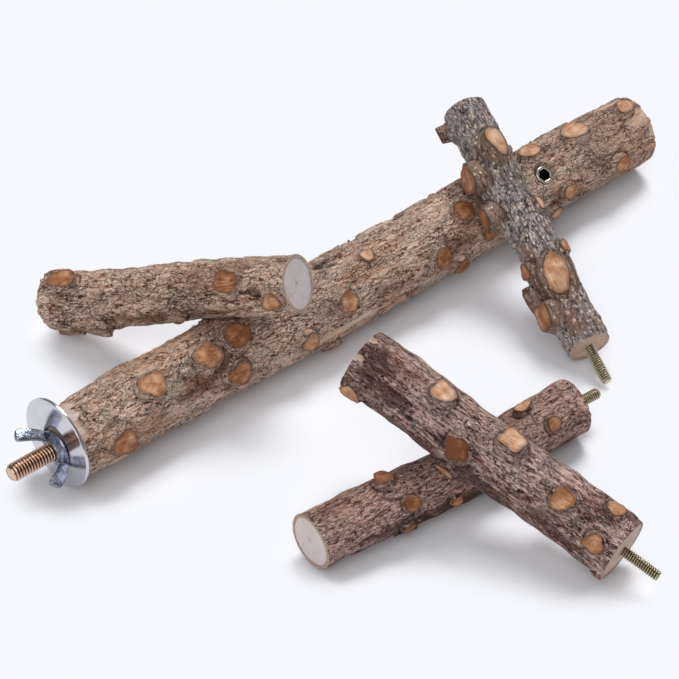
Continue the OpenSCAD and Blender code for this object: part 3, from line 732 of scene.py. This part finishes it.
def thread_mesh(name, r, pitch, z0, z1, tip, around, steps):
    """A threaded rod along +Z with a true helix, and a chamfered, slightly domed tip."""
    rows = int(round((z1 - z0) / pitch * steps))
    profile = [(z0, 0.0), (z0, 0.5 * r)] + [(z0 + (z1 - z0) * k / rows, r) for k in range(rows + 1)] + [
        (z1, 0.66 * r), (z1, 0.33 * r), (z1, 0.0)]
    mesh = to_mesh(turned(profile, around, "Z"), name)
    p = points_of(mesh)
    out, a = np.hypot(p[:, 0], p[:, 1]), np.arctan2(p[:, 1], p[:, 0])
    turn = (p[:, 2] / pitch - a / (2 * np.pi)) % 1.0
    tooth = np.clip(np.abs(turn - 0.5) * 2 * 1.35 - 0.12, 0, 1)
    radius = r - THREAD_DEPTH * pitch * (1 - tooth)
    end = np.clip((z1 - p[:, 2]) / tip, 0, 1)
    radius = np.minimum(radius, r * (0.74 + 0.26 * end))
    flank = out > 0.9 * r
    scale = np.where(flank, radius / np.maximum(out, 1e-6), CORE)
    domed = (out < 0.9 * r) & (p[:, 2] > z1 - 0.01)
    z = p[:, 2] + np.where(domed, 0.32 * (1 - (out / (0.7 * r)) ** 2), 0)
    put_points(mesh, np.stack([p[:, 0] * scale, p[:, 1] * scale, z], 1))
    # Painted shade: 1 at the bottom of the thread's groove, 0 on its crest.
    mark(mesh, "groove", np.clip(1 - tooth, 0, 1) * flank)
    return mesh


# Materials

class Wire:
    """A number in a material: sums on it add Math nodes."""

    def __init__(self, paint, socket):
        self.paint, self.socket = paint, socket

    def _sum(self, operation, *values):
        node = self.paint.node("ShaderNodeMath", {"operation": operation}, values)
        return Wire(self.paint, node.outputs[0])

    def __add__(self, other):
        return self._sum("ADD", self, other)

    __radd__ = __add__

    def __sub__(self, other):
        return self._sum("SUBTRACT", self, other)

    def __rsub__(self, other):
        return self._sum("SUBTRACT", other, self)

    def __mul__(self, other):
        return self._sum("MULTIPLY", self, other)

    __rmul__ = __mul__

    def __truediv__(self, other):
        return self._sum("DIVIDE", self, other)

    def most(self, other):
        return self._sum("MAXIMUM", self, other)

    def least(self, other):
        return self._sum("MINIMUM", self, other)

    def above(self, low, high):
        """0 below low, 1 above high, smooth between."""
        return Wire(self.paint, self.paint.node(
            "ShaderNodeMapRange", {"interpolation_type": "SMOOTHSTEP", "clamp": True},
            {"Value": self, "From Min": low, "From Max": high}).outputs["Result"])


class Nodes:
    """The node tree of a material or a world."""

    def __init__(self, owner):
        owner.use_nodes = True
        self.tree = owner.node_tree
        self.tree.nodes.clear()

    def set(self, socket, value):
        """Links a socket to a Wire or another socket, or gives it a value or a colour."""
        if isinstance(value, Wire):
            self.tree.links.new(value.socket, socket)
        elif isinstance(value, bpy.types.NodeSocket):
            self.tree.links.new(value, socket)
        elif socket.type == "RGBA":
            socket.default_value = (*value, 1.0)
        else:
            socket.default_value = value

    def node(self, kind, settings, values):
        """Adds any node: its settings first, then a value or a link for each socket, by name or in order."""
        node = self.tree.nodes.new(kind)
        for key, setting in settings.items():
            if key == "stops":
                ramp = node.color_ramp
                while len(ramp.elements) < len(setting):
                    ramp.elements.new(0.5)
                for element, (place, colour) in zip(ramp.elements, setting):
                    element.position = place
                    element.color = (*colour, 1.0)
            else:
                setattr(node, key, setting)
        pairs = values.items() if isinstance(values, dict) else enumerate(values)
        for key, value in pairs:
            self.set(node.inputs[key], value)
        return node


class Paint(Nodes):
    """A material in the making."""

    def __init__(self, name):
        self.material = bpy.data.materials.new(name)
        super().__init__(self.material)
        self.shader = self.node("ShaderNodeBsdfPrincipled", {}, {})
        self.out = self.node("ShaderNodeOutputMaterial", {}, {"Surface": self.shader.outputs[0]})

    def number(self, attribute):
        """One of the numbers that mark() keeps on a mesh."""
        return Wire(self, self.node("ShaderNodeAttribute", {"attribute_name": attribute}, {}).outputs["Fac"])

    def stretched(self, vector, scale, shift):
        values = {"Vector": vector, "Scale": scale, "Location": shift}
        return self.node("ShaderNodeMapping", {}, values).outputs[0]

    def place(self, scale=(1, 1, 1), shift=(0, 0, 0)):
        """Points along and around the stick, stretched for a pattern."""
        vector = self.node("ShaderNodeAttribute", {"attribute_name": "stick_point"}, {}).outputs["Vector"]
        return self.stretched(vector, scale, shift)

    def here(self):
        """Object coordinates."""
        return self.node("ShaderNodeTexCoord", {}, {}).outputs["Object"]

    def noise(self, vector, scale, detail=3.0, roughness=0.55, distortion=0.0):
        return Wire(self, self.node("ShaderNodeTexNoise", {}, {
            "Vector": vector, "Scale": scale, "Detail": detail, "Roughness": roughness,
            "Distortion": distortion}).outputs["Fac"])

    def cells(self, vector, feature):
        """The outputs of a cell pattern, one cell a unit."""
        values = {"Vector": vector, "Scale": 1.0}
        return self.node("ShaderNodeTexVoronoi", {"feature": feature}, values).outputs

    def vector(self, operation, first, second):
        """Two vectors added, taken away or multiplied."""
        return self.node("ShaderNodeVectorMath", {"operation": operation}, {0: first, 1: second}).outputs[0]

    def crevices(self, stretch, seed, width, wander):
        """Flakes parted by fine crevices: 1 in a crevice, and a tone a flake."""
        base = self.node("ShaderNodeAttribute", {"attribute_name": "stick_point"}, {}).outputs["Vector"]
        cloud = self.node("ShaderNodeTexNoise", {}, {"Vector": base, "Scale": 0.45, "Detail": 3.0})
        push = self.vector("SUBTRACT", cloud.outputs["Color"], (0.5, 0.5, 0.5))
        push = self.vector("MULTIPLY", push, (3 * wander, 2 * wander, 2 * wander))
        where = self.stretched(self.vector("ADD", base, push), stretch, (seed, 2 * seed, 0))
        edge = Wire(self, self.cells(where, "DISTANCE_TO_EDGE")["Distance"])
        tone = self.node("ShaderNodeSeparateColor", {}, {0: self.cells(where, "F1")["Color"]}).outputs[0]
        return 1 - edge.above(0.25 * width, width), Wire(self, tone)

    def ramp(self, value, stops):
        return self.node("ShaderNodeValToRGB", {"stops": stops}, {"Fac": value}).outputs["Color"]

    def mix(self, share, first, second):
        """One colour over another."""
        return self.node("ShaderNodeMix", {"data_type": "RGBA"}, {0: share, 6: first, 7: second}).outputs[2]

    def finish(self, colour, roughness, metallic, bump=None, bump_depth=0.0, strength=0.0, **fixed):
        """Links what the piece shows to the shader, and sets the sockets that are the same all over."""
        for name, value in (("Base Color", colour), ("Roughness", roughness), ("Metallic", metallic)):
            self.set(self.shader.inputs[name], value)
        if bump is not None:
            values = {"Height": bump, "Distance": bump_depth, "Strength": strength}
            self.set(self.shader.inputs["Normal"], self.node("ShaderNodeBump", {}, values).outputs[0])
        for name, value in fixed.items():
            self.set(self.shader.inputs[name.replace("_", " ")], value)
        return self.material


# Each stick's bark colours, 0 to 255, from its crevices to its palest flakes, its tint, the colour of its
# stains and painted shade, and its pale spots. The dark stain colours of perch_3 and perch_4 paint the shade
# under them, and the trunk's is partly painted shade beside perch_1.
TONES = ("dark", "mid", "light", "cream", "tint", "stain", "spot")
BARKS = {
    "trunk": ((78, 46, 32), (220, 172, 148), (250, 208, 184), (255, 228, 208), (226, 168, 134),
              (150, 94, 58), (240, 220, 206)),
    "perch_1": ((66, 44, 36), (206, 158, 134), (240, 198, 174), (254, 222, 200), (196, 148, 122),
                (140, 96, 70), (235, 212, 198)),
    "perch_2": ((48, 36, 38), (154, 137, 138), (200, 183, 182), (236, 216, 210), (150, 126, 118),
                (168, 124, 98), (250, 226, 202)),
    # perch_3 and perch_4: their dark stain colours are painted shade for their undersides.
    "perch_3": ((50, 30, 28), (182, 140, 128), (236, 196, 182), (255, 226, 212), (140, 86, 70),
                (92, 48, 38), (244, 208, 186)),
    "perch_4": ((58, 34, 28), (168, 122, 108), (218, 176, 160), (248, 212, 196), (138, 84, 68),
                (72, 38, 28), (244, 212, 190))}

# How each kind of bark flakes: the stretch of its wide and fine flakes, the width and depth of its crevices,
# how far flakes differ in tone, how far crevices wander, how strong its pale dots are, and how light it is.
WEAVE = {
    "scaly": {"wide": (0.16, 0.6, 0.6), "fine": (0.42, 1.3, 1.3), "gap": 0.075, "deep": 0.97, "tone": 0.52,
              "sway": 1.5, "dots": 0.0, "lift": 0.7},
    "dotted": {"wide": (0.11, 0.55, 0.55), "fine": (0.4, 1.5, 1.5), "gap": 0.085, "deep": 0.8, "tone": 0.22,
               "sway": 1.0, "dots": 1.0, "lift": 0.5},
    "furrowed": {"wide": (0.1, 0.8, 0.8), "fine": (0.26, 1.7, 1.7), "gap": 0.09, "deep": 0.95, "tone": 0.34,
                 "sway": 1.0, "dots": 0.0, "lift": 0.56},
    "freckled": {"wide": (0.13, 0.85, 0.85), "fine": (0.3, 1.7, 1.7), "gap": 0.09, "deep": 0.9, "tone": 0.28,
                 "sway": 0.9, "dots": 0.45, "lift": 0.56}}


def bark_material(stick):
    """Bark: flakes and fine crevices along the stick, stains and painted shade, and bare wood where it has
    come away.
    """
    tones, weave = dict(zip(TONES, (srgb(*c) for c in BARKS[stick.name]))), WEAVE[stick.kind]
    paint = Paint(stick.name + "_bark")
    shift = (stick.seed * 0.37, 3.1, 7.7)
    wide_gap, wide_tone = paint.crevices(weave["wide"], stick.seed * 0.11, weave["gap"], weave["sway"])
    fine_gap, fine_tone = paint.crevices(weave["fine"], stick.seed * 0.23 + 5, 1.3 * weave["gap"], 0.6)
    grit = paint.noise(paint.place(scale=(0.5, 1, 1), shift=shift), 0.9, 4.0, 0.8)
    streaks = paint.noise(paint.place(scale=(0.22, 1, 1), shift=shift), 0.3, 4.0, 0.65, 0.4)
    broad = paint.noise(paint.place(scale=(0.5, 1, 1), shift=shift), 0.055, 2.0, 0.5)
    patchy = paint.noise(paint.place(scale=(0.6, 1, 1), shift=shift), 0.16, 3.0, 0.6)
    crack, light, bare = paint.number("crack"), paint.number("light"), paint.number("bare")
    value = ((wide_tone - 0.5) * weave["tone"] + (fine_tone - 0.5) * weave["tone"] * 0.8 + (light - 0.5) * 0.5
             + (streaks - 0.5) * 0.85 + (grit - 0.5) * 2.6 + weave["lift"])
    skin = paint.ramp(value, [(0.12, tones["dark"]), (0.34, tones["mid"]), (0.55, tones["light"]),
                              (0.78, tones["cream"])])
    skin = paint.mix(broad.above(0.48, 0.66) * 0.5, skin, tones["tint"])
    # Stains and painted shade: the patches darken the bark towards the stain colour, which under perch_3 and
    # perch_4 is painted shade.
    stain = paint.number("stain") * (patchy * 1.5 + 0.1)
    skin = paint.mix(stain.most(0.0).least(0.75), skin, tones["stain"])
    spots = (paint.number("spots") * (0.75 + 0.5 * grit)).least(0.95)
    skin = paint.mix(spots, skin, tones["spot"])
    if weave["dots"]:
        far = Wire(paint, paint.cells(paint.place(scale=(0.3, 0.38, 0.38), shift=shift), "F1")["Distance"])
        dots = (1 - far.above(0.2, 0.29)) * weave["dots"] * (1 - bare)
        skin = paint.mix(dots, skin, tones["spot"])
    open_gap = patchy.above(0.38, 0.58) * 0.7 + 0.3
    gap = (wide_gap * open_gap).most(fine_gap * 0.9 * streaks.above(0.38, 0.58)) * weave["deep"]
    deepest = tuple(0.32 * c for c in tones["dark"])
    skin = paint.mix(gap.most(crack * (0.55 + grit * 0.6)).least(0.93), skin, deepest)
    wood = paint.ramp((grit - 0.5) * 0.7 + streaks, [
        (0.25, srgb(170, 128, 98)), (0.5, srgb(212, 182, 158)), (0.8, srgb(234, 214, 198))])
    wood = paint.mix(paint.number("drilled"), wood, srgb(150, 98, 52))
    wood = paint.mix(paint.number("white") * (grit + 0.3).least(0.85), wood, srgb(230, 216, 208))
    skin = paint.mix(bare.above(0.45, 0.6), skin, wood)
    skin = paint.mix(paint.number("sawn").above(0.3, 0.7), skin, srgb(228, 200, 180))
    height = value * 0.8 - gap * 0.9 - crack * 0.3 + paint.number("spots") * 0.25
    height = height * (1 - 0.75 * bare)
    return paint.finish(skin, 0.8, 0.0, height, 0.0007, 1.0, Specular_IOR_Level=0.25)


def cut_material():
    """The sawn face of a twig stub: orange heartwood with fine saw lines and a darker edge."""
    paint = Paint("stub_cut_wood")
    lines = paint.noise(paint.place(scale=(0.08, 1, 1)), 2.6, 3.0, 0.65)
    cloud = paint.noise(paint.place(), 0.2, 3.0, 0.55)
    grit = paint.noise(paint.place(), 3.0, 3.0, 0.65)
    tone, edge = paint.number("tone"), paint.number("from_middle")
    value = (lines - 0.5) * 1.05 + (cloud - 0.5) * 1.2 + (grit - 0.5) * 0.4 + tone * 0.6 + 0.12
    skin = paint.ramp(value, [(0.08, srgb(122, 68, 38)), (0.36, srgb(168, 112, 72)),
                              (0.66, srgb(208, 162, 128)), (0.98, srgb(236, 206, 182))])
    skin = paint.mix(edge.above(0.62, 1.0) * (cloud * 1.35).least(0.85), skin, srgb(98, 54, 32))
    return paint.finish(skin, 0.62, 0.0, lines * 0.7 + grit * 0.5, 0.0004, 0.8, Specular_IOR_Level=0.3)


def sawn_material(stick, tone):
    """A stick's sawn end: pale wood with saw speckle, faint growth rings and a tan edge."""
    paint = Paint(stick.name + "_sawn_wood")
    grit = paint.noise(paint.place(), 2.6, 4.0, 0.7)
    cloud = paint.noise(paint.place(), 0.2, 2.0, 0.5)
    vector = paint.place(scale=(0, 1, 1), shift=(0, 0.6, -0.8))
    length = paint.node("ShaderNodeVectorMath", {"operation": "LENGTH"}, {0: vector})
    out = Wire(paint, length.outputs["Value"])
    wobble = out + 1.1 * (cloud - 0.5)
    rings = Wire(paint, paint.node("ShaderNodeMath", {"operation": "SINE"}, [wobble * 3.6]).outputs[0])
    value = 0.5 + (grit - 0.5) * 2.1 + (cloud - 0.5) * 0.35 + rings * 0.025
    dark, light = tuple(0.72 * c for c in tone), tuple(min(1.0, 1.16 * c) for c in tone)
    skin = paint.ramp(value, [(0.2, dark), (0.5, tone), (0.8, light)])
    skin = paint.mix((1 - out / 1.3).most(0.0) * 0.6, skin, srgb(150, 112, 96))
    limit = stick.near_r - 1.1
    skin = paint.mix(out.above(limit - 0.9, limit + 0.4) * 0.35, skin, srgb(190, 156, 132))
    return paint.finish(skin, 0.78, 0.0, grit, 0.0003, 0.5, Specular_IOR_Level=0.2)


def metal(name, colour, roughness, scratch, groove=None, grime=None, deep=0.85, cast=False):
    """Plated steel with faint scratches and mottling, painted shade in its grooves and hollows, or lumpy
    where it is cast.
    """
    paint = Paint(name)
    scuff = paint.noise(paint.here(), 900, 3.0, 0.6)
    cloud = paint.noise(paint.here(), 160, 2.0, 0.5)
    skin = paint.mix(cloud.above(0.35, 0.7) * 0.35, colour, tuple(0.8 * c for c in colour))
    # Painted shade: darker down in the grooves and hollows.
    if groove is not None:
        skin = paint.mix(paint.number("groove") * deep, skin, groove)
    if grime is not None:
        skin = paint.mix(scuff.above(0.55, 0.75) * 0.5, skin, grime)
    rough_value = (roughness + (scuff - 0.5) * scratch * 2 + (cloud - 0.5) * scratch).most(0.03)
    if cast:
        lumps = paint.noise(paint.here(), 620, 3.0, 0.6)
        skin = paint.mix(lumps.above(0.45, 0.55) * 0.6, skin, tuple(0.35 * c for c in colour))
        return paint.finish(skin, rough_value + 0.06, 1.0, lumps, 0.00035, 0.9)
    return paint.finish(skin, rough_value, 1.0, scuff, 0.00003, 0.3)


# Operators

def dress(stick, step, context):
    """Makes one stick's bark, sawn wood and twig stubs."""
    sticks, finish = context.scene.perch_sticks, context.scene.perch_finish
    name, rim = stick.name, sticks.bark_rim / MM
    bark, cut = bark_material(stick), cut_material()
    mesh = bark_mesh(stick, step / MM, rim, sticks.relief)
    finished(name + "_bark_skin", mesh, [bark], name, name + "_bark")
    sawn = sawn_material(stick, tuple(getattr(finish, name + "_end")))
    finished(name + "_sawn_wood", wood_mesh(stick, rim), [sawn], name, name + "_wood")
    mesh = stubs_mesh(stick, sticks.stub_sides)
    finished(name + "_twig_stubs", mesh, [bark, cut], name, name + "_stubs")


class PERCH_OT_trunk(bpy.types.Operator):
    """Makes the trunk's bark, wood and twig stubs"""
    bl_idname = "perch.trunk"
    bl_label = "Trunk"

    def execute(self, context):
        dress(TRUNK, context.scene.perch_sticks.trunk_step, context)
        return {"FINISHED"}


class PERCH_OT_side_perches(bpy.types.Operator):
    """Makes the bark, wood and twig stubs of the side perches"""
    bl_idname = "perch.side_perches"
    bl_label = "Side perches"

    def execute(self, context):
        for stick in PERCHES:
            dress(stick, context.scene.perch_sticks.bark_step, context)
        return {"FINISHED"}


class PERCH_OT_cage_bolt(bpy.types.Operator):
    """Makes the cage bolt with its thread"""
    bl_idname = "perch.cage_bolt"
    bl_label = "Cage bolt"

    def execute(self, context):
        parts = context.scene.perch_hardware
        mesh = thread_mesh("cage_bolt_thread", parts.bolt_diameter / MM / 2, parts.bolt_pitch / MM, BOLT_ROOT,
                           parts.bolt_out / MM - BOLT_TIP, tip=1.4, around=72, steps=14)
        # The dark colour is painted shade down the thread's grooves.
        skin = metal("copper_gold_plating", tuple(context.scene.perch_finish.bolt), 0.24, 0.06,
                     groove=srgb(48, 24, 18))
        finished("cage_bolt_thread", placed(mesh, BOLT), [skin], "trunk", "cage_bolt")
        return {"FINISHED"}


WASHER_HOLE, WASHER_SOFT = 7.32, 0.42  # the hole's radius, and the radius of the rounded rim


class PERCH_OT_washer(bpy.types.Operator):
    """Makes the cage washer"""
    bl_idname = "perch.washer"
    bl_label = "Cage washer"

    def execute(self, context):
        parts = context.scene.perch_hardware
        r, t = parts.washer_diameter / MM / 2, parts.washer_thickness / MM
        hole, soft, chamfer = WASHER_HOLE, WASHER_SOFT, 0.15
        bend = [k * math.pi / 12 for k in range(7)]
        flat = [hole + (r - soft - hole) * k / 10 for k in range(11)]
        profile = [(chamfer, hole), (0.0, hole + chamfer)] + [(0.0, out) for out in flat[1:]]
        profile += [(soft * (1 - math.cos(b)), r - soft + soft * math.sin(b)) for b in bend[1:]]
        profile += [(t - soft + soft * math.sin(b), r - soft + soft * math.cos(b)) for b in bend]
        profile += [(t, out) for out in flat[9:0:-1]]
        profile += [(t, hole + chamfer), (t - chamfer, hole), (chamfer, hole)]
        bm = welded(turned(profile, 160, "Z"))
        bmesh.ops.translate(bm, verts=bm.verts, vec=(WASHER_RISE, 0, 0))
        mesh = to_mesh(bm, "washer_disc")
        skin = metal("bright_washer_plating", tuple(context.scene.perch_finish.washer), 0.17, 0.02)
        finished("washer_disc", placed(mesh, BOLT), [skin], "washer", "clamp_washer")
        return {"FINISHED"}


NUT_BASE = 1.5  # height of the nut's seat above the trunk's end
# The hub's profile, as heights above the seat and radii, and a wing's outline, as distances out and up.
NUT_HUB = ((0.0, 4.1), (0.0, 8.1), (0.2, 8.4), (0.55, 8.45), (0.9, 8.2), (1.6, 6.9), (2.3, 5.75),
           (2.75, 5.15), (3.05, 4.85), (3.2, 4.65), (3.2, 4.25), (3.0, 4.1), (0.0, 4.1))
WING = ((4.6, 0.5), (9.2, 0.5), (11.2, 2.4), (13.4, 5.2), (15.0, 8.0), (15.5, 9.3), (15.0, 10.6),
        (13.5, 11.7), (12.0, 12.3), (11.0, 12.0), (9.9, 10.0), (8.6, 7.0), (7.1, 4.5), (6.0, 3.2), (4.6, 2.6))
WING_TURNS, WING_THICK, WING_BEVEL = (64, 244), 2.4, 0.55


def wing_mesh(turn):
    """One wing: its outline made thick, its edges rounded, swept out and turned to its side of the nut."""
    bm = bmesh.new()
    rim = [bm.verts.new((x, -WING_THICK / 2, z + NUT_BASE)) for x, z in WING]
    swept = bmesh.ops.extrude_face_region(bm, geom=[bm.faces.new(rim)])
    moved = [v for v in swept["geom"] if isinstance(v, bmesh.types.BMVert)]
    bmesh.ops.translate(bm, verts=moved, vec=(0, WING_THICK, 0))
    bmesh.ops.recalc_face_normals(bm, faces=bm.faces)
    outline = [e for e in bm.edges if abs(e.verts[0].co.y - e.verts[1].co.y) < 1e-6]
    bmesh.ops.bevel(bm, geom=outline, offset=WING_BEVEL, segments=3, profile=0.5, affect="EDGES", material=-1)
    bmesh.ops.triangulate(bm, faces=[f for f in bm.faces if len(f.verts) > 4])
    for v in bm.verts:
        far = max(0.0, (v.co.x - 6.0) / 10.0)
        v.co.y *= 1.15 - 0.25 * far
        v.co.y += 0.9 * far * (1 if v.co.z > NUT_BASE + 6 else 0.4)
    bmesh.ops.rotate(bm, verts=bm.verts, cent=(0, 0, 0), matrix=Matrix.Rotation(math.radians(turn), 3, "Z"))
    return to_mesh(bm, "wing")


class PERCH_OT_wing_nut(bpy.types.Operator):
    """Makes the wing nut"""
    bl_idname = "perch.wing_nut"
    bl_label = "Wing nut"

    def execute(self, context):
        bm = welded(turned([(NUT_BASE + rise, r) for rise, r in NUT_HUB], 96, "Z"))
        for turn in WING_TURNS:
            wing = wing_mesh(turn)
            bm.from_mesh(wing)
            bpy.data.meshes.remove(wing)
        mesh = to_mesh(bm, "wing_nut_casting")
        skin = metal("clear_zinc_casting", tuple(context.scene.perch_finish.nut), 0.16, 0.06, cast=True)
        finished("wing_nut_casting", placed(mesh, BOLT), [skin], "wing_nut", "wing_nut")
        return {"FINISHED"}


HEX = 3.0  # half the socket's width across its flats
SOCKET = ((-0.12, 0.96), (0.0, 0.9), (0.0, 0.8), (-0.1, 0.76), (-0.35, 0.74), (-2.3, 0.74), (-2.4, 0.66),
          (-11.9, 0.6))  # height from the mouth, and radius as a share of the insert's


def socket_radius(share, r, angle):
    """Radius of the socket's wall at an angle: six-sided between the rim and the bore."""
    hexed = HEX * math.cos(math.pi / 6) / math.cos((angle % (math.pi / 3)) - math.pi / 6)
    if share == 0.8:
        return max(hexed + 0.2, r * share * 0.93)
    if 0.7 < share < 0.8:
        return min(hexed, r * share * 1.02)
    return r * share


class PERCH_OT_inserts(bpy.types.Operator):
    """Makes the threaded inserts with their hex sockets"""
    bl_idname = "perch.inserts"
    bl_label = "Threaded inserts"

    def execute(self, context):
        # The near-black colour is painted shade down inside each socket.
        skin = metal("insert_plating", tuple(context.scene.perch_finish.insert), 0.24, 0.06,
                     groove=srgb(16, 12, 10), deep=1.0)
        r = context.scene.perch_hardware.insert_diameter / MM / 2
        for number, row in enumerate(INSERTS, 1):
            bm = bmesh.new()
            ring = bmesh.ops.create_circle(bm, segments=72, radius=r)["verts"]
            rim = bmesh.ops.extrude_edge_only(bm, edges=bm.edges[:])
            top = [v for v in rim["geom"] if isinstance(v, bmesh.types.BMVert)]
            bmesh.ops.translate(bm, verts=ring, vec=(0, 0, -12.0))
            bmesh.ops.translate(bm, verts=top, vec=(0, 0, -0.35))
            for z, share in SOCKET:
                edge = [e for e in bm.edges if all(v in top for v in e.verts)]
                grown = bmesh.ops.extrude_edge_only(bm, edges=edge)
                top = [v for v in grown["geom"] if isinstance(v, bmesh.types.BMVert)]
                for v in top:
                    want = socket_radius(share, r, math.atan2(v.co.y, v.co.x))
                    scale = want / max(1e-6, math.hypot(v.co.x, v.co.y))
                    v.co = (v.co.x * scale, v.co.y * scale, z)
            bmesh.ops.recalc_face_normals(bm, faces=bm.faces)
            name = f"insert_{number}_socket"
            mesh = to_mesh(bm, name)
            # Painted shade: darker the deeper a point lies below the insert's mouth, full from 0.75 mm down.
            mark(mesh, "groove", ease((-0.25 - points_of(mesh)[:, 2]) / 0.5))
            mesh = placed(mesh, insert_frame(row))
            finished(name, mesh, [skin], "trunk", f"insert_{number}")
        return {"FINISHED"}


class PERCH_OT_studs(bpy.types.Operator):
    """Makes the studs of the side perches"""
    bl_idname = "perch.studs"
    bl_label = "Studs"

    def execute(self, context):
        parts = context.scene.perch_hardware
        # The dark colour is painted shade down the thread's grooves; the grime is the stud's own dirt.
        skin = metal("yellow_stud_plating", tuple(context.scene.perch_finish.stud), 0.28, 0.08,
                     groove=srgb(84, 72, 48), grime=srgb(160, 140, 104))
        for stick, out in zip(PERCHES[1:], (parts.stud_out, parts.stud_out, parts.short_stud_out)):
            name = stick.name + "_stud_thread"
            mesh = thread_mesh(name, parts.stud_diameter / MM / 2, parts.stud_pitch / MM,
                               STUD_ROOT, out / MM - STUD_TIP, tip=0.9, around=56, steps=12)
            mesh.transform(BOLT)
            mesh = placed(mesh, stick.place)
            finished(name, mesh, [skin], stick.name, stick.name + "_stud")
        return {"FINISHED"}


FLOOR_GAP = 0.2  # millimetres between the floor and the lowest point that the sticks were laid out on
GLOW, SKY_COLOUR, SKY = 1.0, (0.97, 0.98, 1.0), 0.24
LENS, SENSOR, FAR = 210.1, 36.0, 50.0
EYE = (-0.712256, -0.985286, 1.072831)
RIGHT, UP = Vector((0.75176242, -0.65943405, 0)), Vector((0.42387604, 0.48322357, 0.76604444))
BACK = Vector((-0.50515579, -0.57588342, 0.64278761))
# Each lamp's light on the floor, its width in degrees, and where it stands: right, away from the camera, up
LAMPS = {"key": (0.57, 26, (0.15, 0.55, 0.82)), "fill": (0.28, 55, (-0.27, -0.68, 0.68))}


class PERCH_OT_stage(bpy.types.Operator):
    """Makes the pale floor, the soft studio light and the camera"""
    bl_idname = "perch.stage"
    bl_label = "Floor, light and camera"

    def execute(self, context):
        scene = context.scene
        self.floor(scene)
        self.camera(scene)
        for name, lamp in LAMPS.items():
            self.lamp(scene, name, *lamp)
        self.sky(scene)
        scene.view_settings.view_transform = "Standard"
        return {"FINISHED"}

    def floor(self, scene):
        """A floor that shows the pale backdrop, except where the object shades it."""
        bm = bmesh.new()
        bmesh.ops.create_grid(bm, x_segments=2, y_segments=2, size=12.0)
        mesh = to_mesh(bm, "studio_floor")
        mesh.transform(Matrix.Translation((0, 0, (FLOOR_Z - FLOOR_GAP) * MM)))
        floor = bpy.data.objects.new("studio_floor", mesh)
        scene.collection.objects.link(floor)
        paint = Paint("studio_floor")
        paint.finish(tuple(scene.perch_finish.floor), 0.9, 0.0, Specular_IOR_Level=0.0)
        ray = paint.node("ShaderNodeLightPath", {}, {}).outputs
        shade = paint.node("ShaderNodeAmbientOcclusion", {"samples": 16}, {"Distance": 0.12}).outputs["AO"]
        direct = Wire(paint, ray["Is Camera Ray"]).most(Wire(paint, ray["Is Glossy Ray"]))
        glow = paint.node("ShaderNodeEmission", {}, {"Color": BACKDROP, "Strength": GLOW})
        pale = paint.node("ShaderNodeMixShader", {}, {
            0: direct * Wire(paint, shade).above(0.55, 0.82), 1: paint.shader.outputs[0], 2: glow.outputs[0]})
        paint.set(paint.out.inputs["Surface"], pale.outputs[0])
        mesh.materials.append(paint.material)

    def camera(self, scene):
        """The camera at the photograph's viewing angle."""
        camera = bpy.data.cameras.new("photo_camera")
        camera.lens, camera.sensor_width, camera.clip_end = LENS, SENSOR, FAR
        eye = bpy.data.objects.new("photo_camera", camera)
        turn = Matrix((RIGHT, UP, BACK)).transposed().to_4x4()
        eye.matrix_world = Matrix.Translation(EYE) @ turn
        scene.collection.objects.link(eye)
        scene.camera = eye

    def lamp(self, scene, name, share, width, stands):
        """A wide, soft sun."""
        light = bpy.data.lights.new(name, "SUN")
        away = Vector((UP.x, UP.y, 0)).normalized()
        toward = (stands[0] * RIGHT + stands[1] * away + stands[2] * Vector((0, 0, 1))).normalized()
        light.energy, light.angle = share * math.pi / toward.z, math.radians(width)
        lamp = bpy.data.objects.new(name, light)
        lamp.matrix_world = toward.to_track_quat("Z", "Y").to_matrix().to_4x4()
        scene.collection.objects.link(lamp)

    def sky(self, scene):
        """A plain sky that lights the object softly and shows the camera the backdrop."""
        scene.world = bpy.data.worlds.new("studio")
        sky = Nodes(scene.world)
        light = sky.node("ShaderNodeBackground", {}, {"Color": SKY_COLOUR, "Strength": SKY})
        backdrop = sky.node("ShaderNodeBackground", {}, {"Color": BACKDROP, "Strength": GLOW})
        seen = sky.node("ShaderNodeLightPath", {}, {}).outputs["Is Camera Ray"]
        both = sky.node("ShaderNodeMixShader", {}, {0: seen, 1: light.outputs[0], 2: backdrop.outputs[0]})
        sky.node("ShaderNodeOutputWorld", {}, {"Surface": both.outputs[0]})


class PERCH_PT_sidebar(bpy.types.Panel):
    """Lists the settings and the operators"""
    bl_idname = "PERCH_PT_sidebar"
    bl_label = "Bird perch"
    bl_space_type = "VIEW_3D"
    bl_region_type = "UI"
    bl_category = "Perch"

    def draw(self, context):
        for group in (context.scene.perch_sticks, context.scene.perch_hardware, context.scene.perch_finish):
            for name in group.bl_rna.properties.keys():
                if name not in ("rna_type", "name"):
                    self.layout.prop(group, name)
        for operator in OPERATORS:
            self.layout.operator(operator.bl_idname)


GROUPS = {"perch_sticks": PERCH_PG_sticks, "perch_hardware": PERCH_PG_hardware,
          "perch_finish": PERCH_PG_finish}
OPERATORS = (PERCH_OT_trunk, PERCH_OT_side_perches, PERCH_OT_cage_bolt, PERCH_OT_washer, PERCH_OT_wing_nut,
             PERCH_OT_inserts, PERCH_OT_studs, PERCH_OT_stage)


def register():
    for kind in (*GROUPS.values(), *OPERATORS, PERCH_PT_sidebar):
        bpy.utils.register_class(kind)
    for name, kind in GROUPS.items():
        setattr(bpy.types.Scene, name, PointerProperty(type=kind))


def unregister():
    for name in GROUPS:
        delattr(bpy.types.Scene, name)
    for kind in (PERCH_PT_sidebar, *reversed(OPERATORS), *reversed(tuple(GROUPS.values()))):
        bpy.utils.unregister_class(kind)


def main():
    register()
    bpy.ops.perch.trunk()
    bpy.ops.perch.side_perches()
    bpy.ops.perch.cage_bolt()
    bpy.ops.perch.washer()
    bpy.ops.perch.wing_nut()
    bpy.ops.perch.inserts()
    bpy.ops.perch.studs()
    bpy.ops.perch.stage()


if __name__ == "__main__":
    main()
